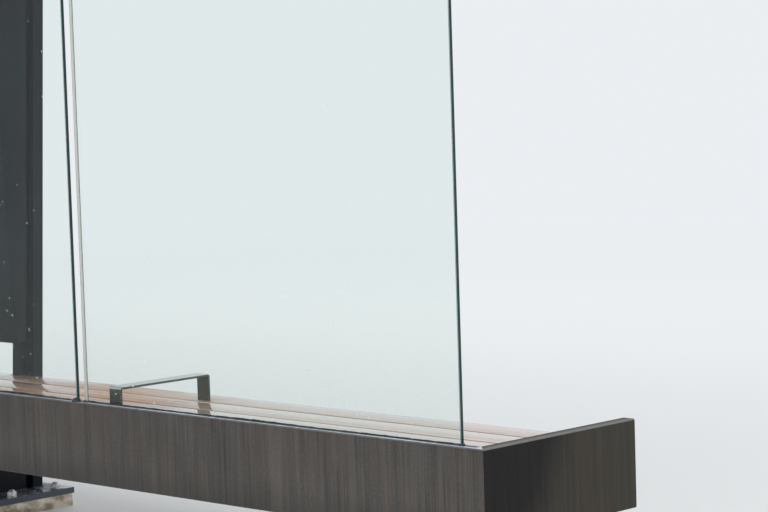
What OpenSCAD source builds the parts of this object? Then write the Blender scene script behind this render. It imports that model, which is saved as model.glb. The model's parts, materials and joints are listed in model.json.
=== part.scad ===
// Bus shelter: a long bench beam with a glass screen standing in its top, a timber slat seat,
// staple armrests, two leaning columns on base plates and a flat roof on tapered arms.
// +Z is up, the street side faces -Y and the origin is at the bottom centre of the whole shelter.
// In the profiles below, d is the distance from the outer face of the bench beam towards the street.

/* [Glass screen] */
// Width of each glass pane
pane_w = 1486; // [1200:2:1700]
// Open joint between two panes
pane_gap = 38; // [20:1:80]
// Distance from each end of the bench to the first glass edge
pane_end_reveal = 90; // [60:1:160]
// Thickness of the glass
glass_t = 12; // [8:1:16]
// Thickness of the rubber on each side of the glass
gasket_t = 3; // [2:0.5:6]
// Thickness of the setting rubber under the glass
setting_t = 5; // [3:1:10]
// Height of the rubber bead above the beam and below the head channel
bead_h = 5; // [3:1:8]
// How far the rubber bead laps over the metal on each side
bead_lap = 2; // [1:0.5:4]
// How far the bead under the glass runs past each edge of the pane
bead_over = 5; // [0:1:9]

/* [Bench beam] */
// Height of the top of the beam above the ground
beam_top_z = 495; // [460:5:560]
// Height of the beam and of the end panels
beam_h = 240; // [200:5:280]
// Width of the ledge outside the rubber and the glass
ledge_w = 15; // [12:1:24]
// Plate thickness of the beam
beam_wall = 5; // [3:0.5:6]
// Outer radius of the folded arrises of the beam and the end panels
bend_r = 5; // [2:0.5:8]
// Depth of the slot that holds the foot of the glass
pocket_h = 60; // [40:1:90]

/* [End panels] */
// Thickness of the end panels
panel_w = 38; // [30:1:60]
// Sheet thickness of the end panels
panel_wall = 4; // [3:0.5:6]
// How far the end panels stand in front of the seat
panel_reveal = 41; // [10:1:80]

/* [Seat] */
// Height from the seat surface up to the top of the beam
seat_drop = 48; // [35:1:80]
// Thickness of the timber slats
slat_t = 38; // [28:1:45]
// Width of the three middle slats
slat_w = 112; // [95:1:130]
// Width of the front slat
front_slat_w = 122; // [110:1:150]
// Width of the narrow closing strip at the back
rear_slat_w = 46; // [30:1:80]
// Open gap between slats, along and across the seat
slat_gap = 6; // [4:1:10]
// Width of the joints between the lengths of a row
slat_joint = 3; // [2:0.5:6]
// Gap between the timber and the metal beside it
timber_clear = 3; // [2:1:6]
// Bevel along the edges of each slat
slat_ease = 3; // [1:0.5:5]
// Radius along the front edge of the seat
nose_r = 12; // [6:1:14]
// Width of the flat bars that the slats are screwed to
strap_w = 50; // [40:1:70]
// Thickness of those flat bars
strap_t = 12; // [8:1:16]
// How far the flat bars stop behind the front of the seat
strap_setback = 30; // [15:1:60]
// Depth of the front rail from front to back
rail_d = 50; // [40:1:60]
// Height of the front rail
rail_h = 60; // [45:1:80]
// Wall of the front rail
rail_wall = 4; // [3:0.5:6]
// Distance from the front of the seat to the front rail
rail_setback = 80; // [75:1:95]

/* [Armrests] */
// Distance from each end of the bench to the middle of the first armrest
armrest_from_end = 1546; // [1300:1:1700]
// Width of the armrest bar
armrest_w = 52; // [40:1:90]
// Thickness of the armrest bar
armrest_t = 8; // [6:1:14]
// Height of the armrest above the seat
armrest_h = 84; // [70:1:240]
// Inner radius of the two bends
armrest_r = 2; // [1:0.5:24]
// Distance from the back edge of the second slat to the rear leg
armrest_back_inset = 14; // [5:1:40]
// Distance from the back edge of the front slat to the front of the front leg
armrest_front_inset = 15; // [15:1:60]

/* [Columns] */
// Distance from each end of the bench to the middle of a column
column_from_end = 2590; // [2300:10:2800]
// Width of a column along the bench
column_w = 100; // [90:2:130]
// Depth of the recessed neck
column_neck_d = 30; // [22:1:36]
// Depth of the front leaf
column_leaf_d = 41; // [30:1:50]
// How far the neck is recessed on each side
column_recess = 26; // [16:1:30]
// Depth of the upper box behind the neck at its lower end
upper_tip_d = 30; // [24:1:50]
// Depth of the upper box behind the neck at its top
upper_root_d = 205; // [150:5:240]
// Gap between the seat and the lower end of the upper box
upper_lift = 13; // [8:1:60]
// Wall of the pedestal and of the upper box
column_wall = 6; // [4:0.5:9]
// Sheet thickness of the neck and the front leaf
leaf_wall = 4; // [3:0.5:6]
// Angle of lean towards the street
lean = 3.1; // [0:0.05:4]
// Gap under the seat between the front slat and the front leaf
leaf_gap = 3; // [2:0.5:8]
// Distance from the third slat to the back of the pedestal
pedestal_gap = 7; // [4:1:20]

/* [Feet] */
// Height of the grout pad
pad_h = 42; // [25:1:60]
// Thickness of the base plate
plate_t = 20; // [12:1:30]
// How far the base plate reaches beside the column
plate_side = 101; // [85:1:130]
// How far the base plate reaches in front of the column
plate_front = 55; // [45:1:120]
// How far the base plate reaches behind the pedestal
plate_back = 169; // [130:1:220]
// Diameter of the anchor studs
stud_d = 20; // [16:1:22]
// Diameter of the holes in the base plate
stud_hole_d = 24; // [23:0.5:26]
// Width of the nuts across their flats
nut_af = 30; // [28:1:34]
// Height of the nuts
nut_h = 16; // [12:1:20]
// Diameter of the washers
washer_d = 37; // [35:1:44]
// Thickness of the washers
washer_t = 3; // [2:0.5:5]
// Length of stud above the nut
stud_over = 12; // [5:1:30]
// Distance from the front and back edges of the plate to the outer studs
stud_edge = 60; // [27:1:80]
// Distance from the side edges of the plate to the studs
stud_side_edge = 25; // [23:0.5:40]

/* [Bench arms] */
// Width of the arm between a pedestal and the beam
bench_arm_w = 84; // [70:2:88]
// Wall of that arm
bench_arm_wall = 6; // [4:0.5:8]
// Height of its end at the pedestal
bench_arm_root_h = 134; // [110:1:150]
// Height of its end at the beam
bench_arm_tip_h = 104; // [70:1:120]

/* [Roof] */
// Height of the underside of the roof edge above the ground
roof_under_z = 2430; // [2300:10:2600]
// Depth of the roof from back to front
roof_d = 1560; // [1450:10:1700]
// How far the roof reaches behind the beam
roof_back_over = 60; // [50:5:120]
// How far the roof reaches past each end of the bench
roof_end_over = 40; // [30:5:150]
// Height of the roof edge
fascia_h = 130; // [122:1:180]
// Sheet thickness of the roof edge
fascia_t = 4; // [3:0.5:6]
// Width of the lips of the roof edge
fascia_lip = 40; // [25:1:45]
// Thickness of the ceiling panel
soffit_t = 3; // [2:0.5:6]
// Thickness of the roof panel
deck_t = 3; // [2:0.5:6]
// Gap around the ceiling and roof panels
panel_clear = 1; // [0.5:0.5:3]
// Width of the purlins
purlin_w = 50; // [40:1:70]
// Height of the purlins
purlin_h = 100; // [80:1:105]
// Wall of the purlins
purlin_wall = 3; // [2:0.5:5]
// Distance from the front of the roof to the middle of the front purlin
purlin_front = 120; // [90:5:250]
// Height of the roof arms over the column
arm_root_h = 120; // [100:1:150]
// Height of the roof arms at their tips
arm_tip_h = 50; // [40:1:70]
// Width of the flanges of the roof arms
arm_flange_w = 140; // [100:2:180]
// Thickness of those flanges
arm_flange_t = 8; // [6:1:12]
// Thickness of the web between them
arm_web_t = 8; // [6:1:14]
// Distance from the front of the roof to the tip of the roof arms
arm_tip_back = 60; // [50:1:120]
// Wall of the head channel over the glass
head_wall = 4; // [3:0.5:6]
// Height of the head channel
head_h = 44; // [35:1:60]
// Expansion space over the glass
glass_head_gap = 6; // [4:1:12]

/* [Hidden] */

$fn = 48;
bays = 5;
over = 10;

steel = [0.25, 0.25, 0.25];
panel_steel = [0.22, 0.23, 0.24];
timber = [0.62, 0.42, 0.28];
armrest_steel = [0.66, 0.68, 0.66];
clear_glass = [0.62, 0.78, 0.76, 0.35];
rubber = [0.07, 0.08, 0.10];
column_paint = [0.20, 0.23, 0.27];
plate_grey = [0.35, 0.37, 0.40];
grout = [0.72, 0.67, 0.58];
zinc = [0.80, 0.81, 0.80];

// Along the bench
bench_l = bays * pane_w + (bays - 1) * pane_gap + 2 * pane_end_reveal;
half_l = bench_l / 2;
seat_half = half_l - panel_w;
column_x = half_l - column_from_end;
armrest_x = half_l - armrest_from_end;

// Across the bench, from the outer face of the beam towards the street
glass_setback = ledge_w + gasket_t;
glass_back_d = glass_setback + glass_t;
slot_back_d = glass_back_d + gasket_t;
beam_d = slot_back_d + beam_wall;
rear_slat_d = beam_d + timber_clear;
slat_2_d = rear_slat_d + rear_slat_w + slat_gap;
slat_3_d = slat_2_d + slat_w + slat_gap;
slat_4_d = slat_3_d + slat_w + slat_gap;
front_slat_d = slat_4_d + slat_w + slat_gap;
seat_front_d = front_slat_d + front_slat_w;
panel_front_d = seat_front_d + panel_reveal;
rail_back_d = seat_front_d - rail_setback - rail_d;
pedestal_d = slat_4_d - slat_gap + pedestal_gap;
column_d = column_neck_d + column_leaf_d;
neck_half = column_w / 2 - column_recess;

// Heights
beam_bottom_z = beam_top_z - beam_h;
slot_bottom_z = beam_top_z - pocket_h;
glass_bottom_z = slot_bottom_z + setting_t;
seat_z = beam_top_z - seat_drop;
slat_bottom_z = seat_z - slat_t;
strap_bottom_z = slat_bottom_z - strap_t;
foot_z = pad_h + plate_t;
soffit_z = roof_under_z + fascia_t;
purlin_z = soffit_z + soffit_t;
deck_z = purlin_z + purlin_h;
roof_top_z = roof_under_z + fascia_h;
column_top_z = soffit_z - arm_root_h;
upper_z = seat_z + upper_lift;
head_top_inside_z = soffit_z - head_wall;
glass_top_z = head_top_inside_z - glass_head_gap;
head_bottom_z = soffit_z - head_h;

// Roof in plan, and the place of the beam's outer face in the shelter's own frame
roof_l = bench_l + 2 * roof_end_over;
back_y = roof_d / 2 - roof_back_over;
roof_front_d = roof_d - roof_back_over;
arm_back_d = slot_back_d + head_wall;
arm_front_d = roof_front_d - arm_tip_back;
neck_foot_d = seat_front_d + leaf_gap - column_neck_d / cos(lean) - (slat_bottom_z - foot_z) * tan(lean);
plate_back_d = pedestal_d - plate_back;
plate_front_d = neck_foot_d + column_d / cos(lean) + plate_front;
column_top_back_d = upper_d(column_top_z);
column_top_front_d = neck_d(column_top_z) + column_d / cos(lean);

// Distance d of the back of the leaning neck at height z
function neck_d(z) = neck_foot_d + (z - foot_z) * tan(lean);

// Distance d of the back of the upper box, which grows deeper towards the roof
function upper_d(z) = neck_d(z) - upper_tip_d
    - (upper_root_d - upper_tip_d) * (z - upper_z) / (column_top_z - upper_z);

// Places spaced evenly from a to b in n steps
function spaced(a, b, n) = [for (i = [0:n]) a + (b - a) * i / n];

// Middle of pane i, counted from the left
function pane_x(i) = -half_l + pane_end_reveal + pane_w / 2 + i * (pane_w + pane_gap);

// A profile drawn in d and height, carried along the bench from x0 to x1
module along(x0, x1) {
    translate([x0, back_y, 0])
        rotate([90, 0, 90])
            linear_extrude(x1 - x0)
                mirror([1, 0])
                    children();
}

// A shape drawn in x and d, raised from z0 to z1
module upright(z0, z1) {
    translate([0, back_y, z0])
        linear_extrude(z1 - z0)
            mirror([0, 1])
                children();
}

// A rectangle from corner to corner
module rect(x0, y0, x1, y1) {
    translate([x0, y0])
        square([x1 - x0, y1 - y0]);
}

// A profile drawn in height and in distance inwards from the right end of the bench,
// carried towards the street from d0 to d1
module across(d0, d1) {
    translate([half_l, back_y - d0, 0])
        rotate([90, 0, 0])
            linear_extrude(d1 - d0)
                mirror([1, 0])
                    children();
}

// Box section of width w whose two outer arrises are folded to a radius
module folded_section(w) {
    r = bend_r;
    rect(r, beam_bottom_z, w, beam_top_z);
    rect(0, beam_bottom_z + r, w, beam_top_z - r);
    for (z = [beam_bottom_z + r, beam_top_z - r])
        translate([r, z])
            circle(r);
}

// Keeps a piece as drawn on the right, or turns it over to the left
module on_side(side) {
    mirror([side < 0 ? 1 : 0, 0, 0])
        children();
}

// Hollow section of the bench beam, with a solid block under its top for the slot of the glass
module beam_section() {
    difference() {
        folded_section(beam_d);
        difference() {
            rect(beam_wall, beam_bottom_z + beam_wall, slot_back_d, beam_top_z - beam_wall);
            rect(ledge_w - beam_wall, slot_bottom_z - beam_wall, beam_d, beam_top_z);
        }
    }
}

// The beam, mitred at both ends from its outer corner to the inner corner of the end panel,
// with the slot for the glass cut between the end panels
module bench_beam() {
    color(steel)
        difference() {
            intersection() {
                along(-half_l, half_l)
                    beam_section();
                upright(beam_bottom_z - over, beam_top_z + over)
                    polygon([[-half_l, 0], [half_l, 0], [seat_half, beam_d], [-seat_half, beam_d]]);
            }
            along(-seat_half, seat_half)
                rect(ledge_w, slot_bottom_z, slot_back_d, beam_top_z + over);
        }
}

// Boxed end panel that closes one end of the bench and meets the beam at the mitre
module end_panel(side) {
    color(panel_steel)
        on_side(side)
            difference() {
                intersection() {
                    across(0, panel_front_d)
                        folded_section(panel_w);
                    upright(beam_bottom_z - over, beam_top_z + over)
                        polygon([[half_l, 0], [half_l, panel_front_d],
                                 [seat_half, panel_front_d], [seat_half, beam_d]]);
                }
                across(-over, panel_front_d - panel_wall)
                    rect(panel_wall, beam_bottom_z + panel_wall,
                         panel_w - panel_wall, beam_top_z - panel_wall);
            }
}

// Box rail under the front slat, in three lengths between the end panels and the pedestals
module seat_front_rail() {
    z0 = strap_bottom_z - rail_h;
    side_x = column_w / 2;
    color(steel)
        for (run = [[-seat_half, -column_x - side_x],
                    [-column_x + side_x, column_x - side_x],
                    [column_x + side_x, seat_half]])
            along(run[0], run[1])
                difference() {
                    rect(rail_back_d, z0, rail_back_d + rail_d, z0 + rail_h);
                    rect(rail_back_d + rail_wall, z0 + rail_wall,
                         rail_back_d + rail_d - rail_wall, z0 + rail_h - rail_wall);
                }
}

// Flat bars under the slats, from the beam over the front rail
module seat_straps() {
    flank = column_w / 2 + strap_w / 2 + timber_clear;
    last = seat_half - strap_w / 2 - timber_clear;
    places = concat(spaced(-last, -column_x - flank, 4),
                    spaced(-column_x + flank, column_x - flank, 4),
                    spaced(column_x + flank, last, 4));
    color(steel)
        for (x = places)
            along(x - strap_w / 2, x + strap_w / 2)
                rect(beam_d, strap_bottom_z, seat_front_d - strap_setback, slat_bottom_z);
}

// Boxed arm that carries the beam from the back of a pedestal
module bench_arm(side) {
    top_z = slat_bottom_z;
    root_z = top_z - bench_arm_root_h;
    tip_z = top_z - bench_arm_tip_h;
    half = bench_arm_w / 2;
    wall = bench_arm_wall;
    color(column_paint)
        difference() {
            along(side * column_x - half, side * column_x + half)
                polygon([[beam_d, tip_z], [beam_d, top_z],
                         [pedestal_d, top_z], [pedestal_d, root_z]]);
            along(side * column_x - half + wall, side * column_x + half - wall)
                polygon([[beam_d - over, tip_z + wall], [beam_d - over, top_z - wall],
                         [pedestal_d + over, top_z - wall],
                         [pedestal_d + over, root_z + wall]]);
        }
}

// Section of a slat from its back edge d0, with a bevel on each edge
module slat_section(d0, w) {
    e = slat_ease;
    polygon([[d0 + e, slat_bottom_z], [d0 + w - e, slat_bottom_z],
             [d0 + w, slat_bottom_z + e], [d0 + w, seat_z - e],
             [d0 + w - e, seat_z], [d0 + e, seat_z],
             [d0, seat_z - e], [d0, slat_bottom_z + e]]);
}

// Section of the front slat, with its upper front edge rounded
module front_slat_section() {
    e = slat_ease;
    r = nose_r;
    d0 = front_slat_d;
    polygon([[d0 + e, slat_bottom_z], [seat_front_d - e, slat_bottom_z],
             [seat_front_d, slat_bottom_z + e], [seat_front_d, seat_z - r],
             [seat_front_d - r, seat_z - r], [seat_front_d - r, seat_z],
             [d0 + e, seat_z], [d0, seat_z - e], [d0, slat_bottom_z + e]]);
    intersection() {
        translate([seat_front_d - r, seat_z - r])
            circle(r);
        rect(seat_front_d - r, seat_z - r, seat_front_d, seat_z);
    }
}

// One row of the seat in three lengths, jointed over the pedestals
module slat_row() {
    end_x = seat_half - timber_clear;
    half = slat_joint / 2;
    color(timber)
        for (run = [[-end_x, -column_x - half],
                    [-column_x + half, column_x - half],
                    [column_x + half, end_x]])
            along(run[0], run[1])
                children();
}

module seat_slat_rear() {
    slat_row()
        slat_section(rear_slat_d, rear_slat_w);
}

module seat_slat_2() {
    slat_row()
        slat_section(slat_2_d, slat_w);
}

module seat_slat_3() {
    slat_row()
        slat_section(slat_3_d, slat_w);
}

module seat_slat_4() {
    slat_row()
        slat_section(slat_4_d, slat_w);
}

// The front row is notched around the neck of each column
module seat_slat_front() {
    half = neck_half + timber_clear;
    difference() {
        slat_row()
            front_slat_section();
        upright(slat_bottom_z - over, seat_z + over)
            for (x = [-column_x, column_x])
                rect(x - half, neck_d(slat_bottom_z) - timber_clear, x + half, seat_front_d + over);
    }
}

// Square with its two upper corners rounded, standing on the seat
module staple_outline(d0, d1, h, r) {
    rect(d0, seat_z, d1, seat_z + h - r);
    rect(d0 + r, seat_z, d1 - r, seat_z + h);
    for (c = [d0 + r, d1 - r])
        translate([c, seat_z + h - r])
            circle(r);
}

// Flat bar bent to a staple, standing across the seat; i counts from the left
module armrest(i) {
    back = slat_2_d + armrest_back_inset;
    front = front_slat_d + armrest_front_inset;
    x = spaced(-armrest_x, armrest_x, bays - 2)[i];
    color(armrest_steel)
        along(x - armrest_w / 2, x + armrest_w / 2)
            difference() {
                staple_outline(back, front, armrest_h, armrest_r + armrest_t);
                translate([0, -over])
                    staple_outline(back + armrest_t, front - armrest_t,
                                   armrest_h - armrest_t + over, armrest_r);
            }
}

// Plain sheet of glass with its foot in the beam and its head in the channel
module glass_pane(i) {
    color(clear_glass)
        along(pane_x(i) - pane_w / 2, pane_x(i) + pane_w / 2)
            rect(glass_setback, glass_bottom_z, glass_back_d, glass_top_z);
}

module all_panes() {
    for (i = [0:bays - 1])
        glass_pane(i);
}

// Rubber that fills the slot in the beam, with a raised bead around the foot of each pane
module sill_gasket() {
    bead_z = beam_top_z + bead_h;
    half = pane_w / 2 + bead_over;
    color(rubber)
        difference() {
            union() {
                along(-seat_half, seat_half)
                    rect(ledge_w, slot_bottom_z, slot_back_d, beam_top_z);
                for (i = [0:bays - 1])
                    along(pane_x(i) - half, pane_x(i) + half)
                        polygon([[ledge_w - bead_lap, beam_top_z], [slot_back_d + bead_lap, beam_top_z],
                                 [slot_back_d, bead_z], [ledge_w, bead_z]]);
            }
            all_panes();
        }
}

// Inverted channel under the ceiling that holds the head of the glass
module head_channel() {
    color(column_paint)
        along(-half_l, half_l)
            difference() {
                rect(ledge_w - head_wall, head_bottom_z, slot_back_d + head_wall, soffit_z);
                rect(ledge_w, head_bottom_z - over, slot_back_d, head_top_inside_z);
            }
}

// Rubber that fills the head channel around the head of the glass
module head_gasket() {
    bead_z = head_bottom_z - bead_h;
    color(rubber)
        difference() {
            along(-half_l, half_l)
                polygon([[ledge_w, head_top_inside_z], [slot_back_d, head_top_inside_z],
                         [slot_back_d, head_bottom_z], [slot_back_d + bead_lap, head_bottom_z],
                         [slot_back_d, bead_z], [ledge_w, bead_z],
                         [ledge_w - bead_lap, head_bottom_z], [ledge_w, head_bottom_z]]);
            all_panes();
        }
}

// Carries a plan section up the lean of a column and cuts it level at z0 and at z1.
// The section's y runs from 0 at the back of the neck to minus the depth at the street side.
module leaning(side, z0, z1) {
    spare = 2 * (column_d * tan(lean) + over);
    intersection() {
        translate([side * column_x, back_y - neck_foot_d, foot_z])
            rotate([lean, 0, 0])
                translate([0, 0, -spare])
                    linear_extrude((column_top_z - foot_z) / cos(lean) + 2 * spare)
                        children();
        translate([side * column_x - column_w, back_y - roof_d, z0])
            cube([2 * column_w, 2 * roof_d, z1 - z0]);
    }
}

// Box of a column under the seat, open at the foot, closed by a plate at the top
module pedestal(side) {
    half = column_w / 2;
    wall = column_wall;
    top_z = slat_bottom_z;
    difference() {
        along(side * column_x - half, side * column_x + half)
            polygon([[pedestal_d, foot_z], [pedestal_d, top_z],
                     [neck_d(top_z), top_z], [neck_d(foot_z), foot_z]]);
        along(side * column_x - half + wall, side * column_x + half - wall)
            polygon([[pedestal_d + wall, foot_z - over], [pedestal_d + wall, top_z - wall],
                     [neck_d(top_z - wall) - wall, top_z - wall],
                     [neck_d(foot_z - over) - wall, foot_z - over]]);
    }
}

// Tapered box over the seat, open at its lower end, closed by a plate at the top
module upper_box(side) {
    half = column_w / 2;
    wall = column_wall;
    low_z = upper_z - over;
    high_z = column_top_z - wall;
    difference() {
        along(side * column_x - half, side * column_x + half)
            polygon([[upper_d(upper_z), upper_z], [column_top_back_d, column_top_z],
                     [neck_d(column_top_z), column_top_z], [neck_d(upper_z), upper_z]]);
        along(side * column_x - half + wall, side * column_x + half - wall)
            polygon([[upper_d(low_z) + wall, low_z], [upper_d(high_z) + wall, high_z],
                     [neck_d(high_z) - wall, high_z], [neck_d(low_z) - wall, low_z]]);
    }
}

// The two boxes behind the neck of a column
module column_body(side) {
    color(column_paint) {
        pedestal(side);
        upper_box(side);
    }
}

// Recessed neck and wide front leaf of a column, folded as one hollow piece and closed at the top
module column_leaf(side) {
    half = column_w / 2;
    leaf_y = -column_neck_d;
    front_y = leaf_y - column_leaf_d;
    wall = leaf_wall;
    color(column_paint)
        difference() {
            leaning(side, foot_z, column_top_z) {
                rect(-neck_half, leaf_y - wall, neck_half, 0);
                rect(-half, front_y, half, leaf_y);
            }
            leaning(side, foot_z - over, column_top_z - wall) {
                rect(-neck_half + wall, front_y + wall, neck_half - wall, -wall);
                rect(-half + wall, front_y + wall, half - wall, leaf_y - wall);
            }
        }
}

// Places of the six anchor studs around a column, in x and d
function stud_places() = [
    for (sx = [-1, 1])
        for (d = spaced(plate_back_d + stud_edge, plate_front_d - stud_edge, 2))
            [sx * (column_w / 2 + plate_side - stud_side_edge), d]
];

module foot_outline(side) {
    half = column_w / 2 + plate_side;
    rect(side * column_x - half, plate_back_d, side * column_x + half, plate_front_d);
}

module base_plate(side) {
    color(plate_grey)
        difference() {
            upright(pad_h, foot_z)
                foot_outline(side);
            for (p = stud_places())
                translate([side * column_x + p[0], back_y - p[1], pad_h - over])
                    cylinder(d = stud_hole_d, h = plate_t + 2 * over);
        }
}

module grout_pad(side) {
    color(grout)
        upright(0, pad_h)
            foot_outline(side);
}

// Studs that stand on the grout and pass through the plate, each with a washer and a nut
module anchor_bolts(side) {
    color(zinc)
        for (p = stud_places())
            translate([side * column_x + p[0], back_y - p[1], 0]) {
                translate([0, 0, pad_h])
                    cylinder(d = stud_d, h = plate_t + washer_t + nut_h + stud_over);
                translate([0, 0, foot_z])
                    cylinder(d = washer_d, h = washer_t);
                translate([0, 0, foot_z + washer_t])
                    cylinder(d = nut_af / cos(30), h = nut_h, $fn = 6);
            }
}

// Outline of a roof arm, deep over the column and tapered to both tips, drawn in by inset
function arm_outline(inset) = [
    [arm_back_d, soffit_z - inset],
    [arm_front_d, soffit_z - inset],
    [arm_front_d, soffit_z - arm_tip_h + inset],
    [column_top_front_d, column_top_z + inset],
    [column_top_back_d, column_top_z + inset],
    [arm_back_d, soffit_z - arm_tip_h + inset]
];

// Tapered roof arm: a web with a flange above and below it
module roof_arm(side) {
    x = side * column_x;
    color(column_paint) {
        along(x - arm_web_t / 2, x + arm_web_t / 2)
            polygon(arm_outline(0));
        along(x - arm_flange_w / 2, x + arm_flange_w / 2)
            difference() {
                polygon(arm_outline(0));
                polygon(concat([[arm_back_d - over, soffit_z - arm_flange_t],
                                [arm_front_d + over, soffit_z - arm_flange_t]],
                               [[arm_front_d + over, soffit_z - arm_tip_h + arm_flange_t]],
                               [for (i = [2:5]) arm_outline(arm_flange_t)[i]],
                               [[arm_back_d - over, soffit_z - arm_tip_h + arm_flange_t]]));
            }
    }
}

// Folded edge around the whole roof: an outer sheet with a lip above and below
module roof_edge_ring() {
    x = roof_l / 2;
    difference() {
        upright(roof_under_z, roof_top_z)
            rect(-x, -roof_back_over, x, roof_front_d);
        upright(roof_under_z + fascia_t, roof_top_z - fascia_t)
            rect(-x + fascia_t, -roof_back_over + fascia_t, x - fascia_t, roof_front_d - fascia_t);
        upright(roof_under_z - over, roof_top_z + over)
            rect(-x + fascia_lip, -roof_back_over + fascia_lip,
                 x - fascia_lip, roof_front_d - fascia_lip);
    }
}

// One side of the roof edge, mitred at its ends; the points give its plan
module roof_edge(points) {
    color(column_paint)
        intersection() {
            roof_edge_ring();
            upright(roof_under_z - over, roof_top_z + over)
                polygon(points);
        }
}

module roof_edge_front() {
    x = roof_l / 2;
    in = fascia_lip;
    roof_edge([[-x, roof_front_d], [x, roof_front_d],
               [x - in, roof_front_d - in], [-x + in, roof_front_d - in]]);
}

module roof_edge_back() {
    x = roof_l / 2;
    in = fascia_lip;
    roof_edge([[-x, -roof_back_over], [x, -roof_back_over],
               [x - in, in - roof_back_over], [-x + in, in - roof_back_over]]);
}

module roof_edge_end(side) {
    x = roof_l / 2;
    in = fascia_lip;
    on_side(side)
        roof_edge([[x, -roof_back_over], [x, roof_front_d],
                   [x - in, roof_front_d - in], [x - in, in - roof_back_over]]);
}

module roof_panel_outline() {
    x = roof_l / 2 - fascia_t - panel_clear;
    rect(-x, -roof_back_over + fascia_t + panel_clear, x, roof_front_d - fascia_t - panel_clear);
}

// Ceiling panel, which lies on the lower lips and on the roof arms
module roof_soffit() {
    color(panel_steel)
        upright(soffit_z, purlin_z)
            roof_panel_outline();
}

// Roof panel, which lies on the purlins
module roof_deck() {
    color(plate_grey)
        upright(deck_z, deck_z + deck_t)
            roof_panel_outline();
}

// Three box purlins over the glass, over the columns and near the front
module roof_purlins() {
    x = roof_l / 2 - fascia_t;
    middles = [(glass_setback + glass_back_d) / 2,
               (column_top_back_d + column_top_front_d) / 2,
               roof_front_d - purlin_front];
    color(steel)
        for (d = middles)
            along(-x, x)
                difference() {
                    rect(d - purlin_w / 2, purlin_z, d + purlin_w / 2, deck_z);
                    rect(d - purlin_w / 2 + purlin_wall, purlin_z + purlin_wall,
                         d + purlin_w / 2 - purlin_wall, deck_z - purlin_wall);
                }
}

bench_beam();
end_panel(-1);  // end_panel_left
end_panel(1);  // end_panel_right
seat_front_rail();
seat_straps();
bench_arm(-1);  // bench_arm_left
bench_arm(1);  // bench_arm_right
seat_slat_rear();
seat_slat_2();
seat_slat_3();
seat_slat_4();
seat_slat_front();
armrest(0);  // armrest_1
armrest(1);  // armrest_2
armrest(2);  // armrest_3
armrest(3);  // armrest_4
glass_pane(0);  // glass_pane_1
glass_pane(1);  // glass_pane_2
glass_pane(2);  // glass_pane_3
glass_pane(3);  // glass_pane_4
glass_pane(4);  // glass_pane_5
sill_gasket();
head_gasket();
head_channel();
column_body(-1);  // column_body_left
column_body(1);  // column_body_right
column_leaf(-1);  // column_leaf_left
column_leaf(1);  // column_leaf_right
base_plate(-1);  // base_plate_left
base_plate(1);  // base_plate_right
grout_pad(-1);  // grout_pad_left
grout_pad(1);  // grout_pad_right
anchor_bolts(-1);  // anchor_bolts_left
anchor_bolts(1);  // anchor_bolts_right
roof_arm(-1);  // roof_arm_left
roof_arm(1);  // roof_arm_right
roof_edge_front();
roof_edge_back();
roof_edge_end(-1);  // roof_edge_left
roof_edge_end(1);  // roof_edge_right
roof_deck();
roof_soffit();
roof_purlins();
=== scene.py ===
"""Finishes and fittings of a bus shelter whose glass screen stands in the beam of a long bench."""

import json
import math

import bpy
import numpy as np
from bpy.props import FloatProperty, FloatVectorProperty, IntProperty, PointerProperty
from mathutils import Matrix, Vector


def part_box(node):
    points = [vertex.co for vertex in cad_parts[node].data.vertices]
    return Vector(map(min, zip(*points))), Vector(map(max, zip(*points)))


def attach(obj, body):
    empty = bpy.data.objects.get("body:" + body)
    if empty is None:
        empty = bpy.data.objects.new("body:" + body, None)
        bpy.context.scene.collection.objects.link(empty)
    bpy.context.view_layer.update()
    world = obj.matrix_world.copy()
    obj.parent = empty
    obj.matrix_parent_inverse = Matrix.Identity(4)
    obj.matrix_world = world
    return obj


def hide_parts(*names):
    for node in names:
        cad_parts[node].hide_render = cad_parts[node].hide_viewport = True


bl_info = {
    "name": "Bus Shelter",
    "version": (1, 0, 0),
    "blender": (4, 5, 0),
    "location": "View3D > Sidebar > Shelter",
    "description": "Finishes and fittings of a bus shelter with a glass screen in its bench",
    "category": "Object",
}

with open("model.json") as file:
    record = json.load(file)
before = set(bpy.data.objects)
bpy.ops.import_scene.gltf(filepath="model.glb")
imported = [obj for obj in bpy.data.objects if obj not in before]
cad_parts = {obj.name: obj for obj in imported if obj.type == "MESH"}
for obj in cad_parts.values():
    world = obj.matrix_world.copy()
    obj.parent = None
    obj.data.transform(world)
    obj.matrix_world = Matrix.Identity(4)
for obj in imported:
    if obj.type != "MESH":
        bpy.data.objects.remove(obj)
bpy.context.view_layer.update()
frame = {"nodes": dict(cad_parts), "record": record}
BODY = "root"
NODES = sorted(frame["nodes"])
PANES = [name for name in NODES if name.startswith("glass_pane")]
SLATS = [name for name in NODES if name.startswith("seat_slat")]
ARMRESTS = [name for name in NODES if name.startswith("armrest")]
SIDES = ("left", "right")


def limits(node):
    """Lowest and highest corner of a node's box, as arrays."""
    return tuple(np.array(corner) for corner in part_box(node))


def span(node, axis):
    """Lowest and highest coordinate of a node along one axis."""
    low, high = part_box(node)
    return low[axis], high[axis]


def coat(node):
    """The material a node has."""
    return frame["nodes"][node].material_slots[0].material


def corners(node, axis=0, place=None):
    """Corner points of a node to 0.01 mm, all of them or those at one place along an axis."""
    mesh = frame["nodes"][node].data
    points = np.empty(len(mesh.vertices) * 3)
    mesh.vertices.foreach_get("co", points)
    points = points.reshape(-1, 3).round(5)
    return points if place is None else points[np.abs(points[:, axis] - place) < 0.0001]


# Sizes and colours


def length(name, text, default):
    return FloatProperty(name=name, description=text, default=default, min=0.0, precision=4, unit="LENGTH")


def colour(name, text, default):
    return FloatVectorProperty(name=name, description=text, default=default, size=3, min=0.0, max=1.0,
                               subtype="COLOR")


def share(name, text, default):
    return FloatProperty(name=name, description=text, default=default, min=0.0, max=1.0, subtype="FACTOR")


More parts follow.
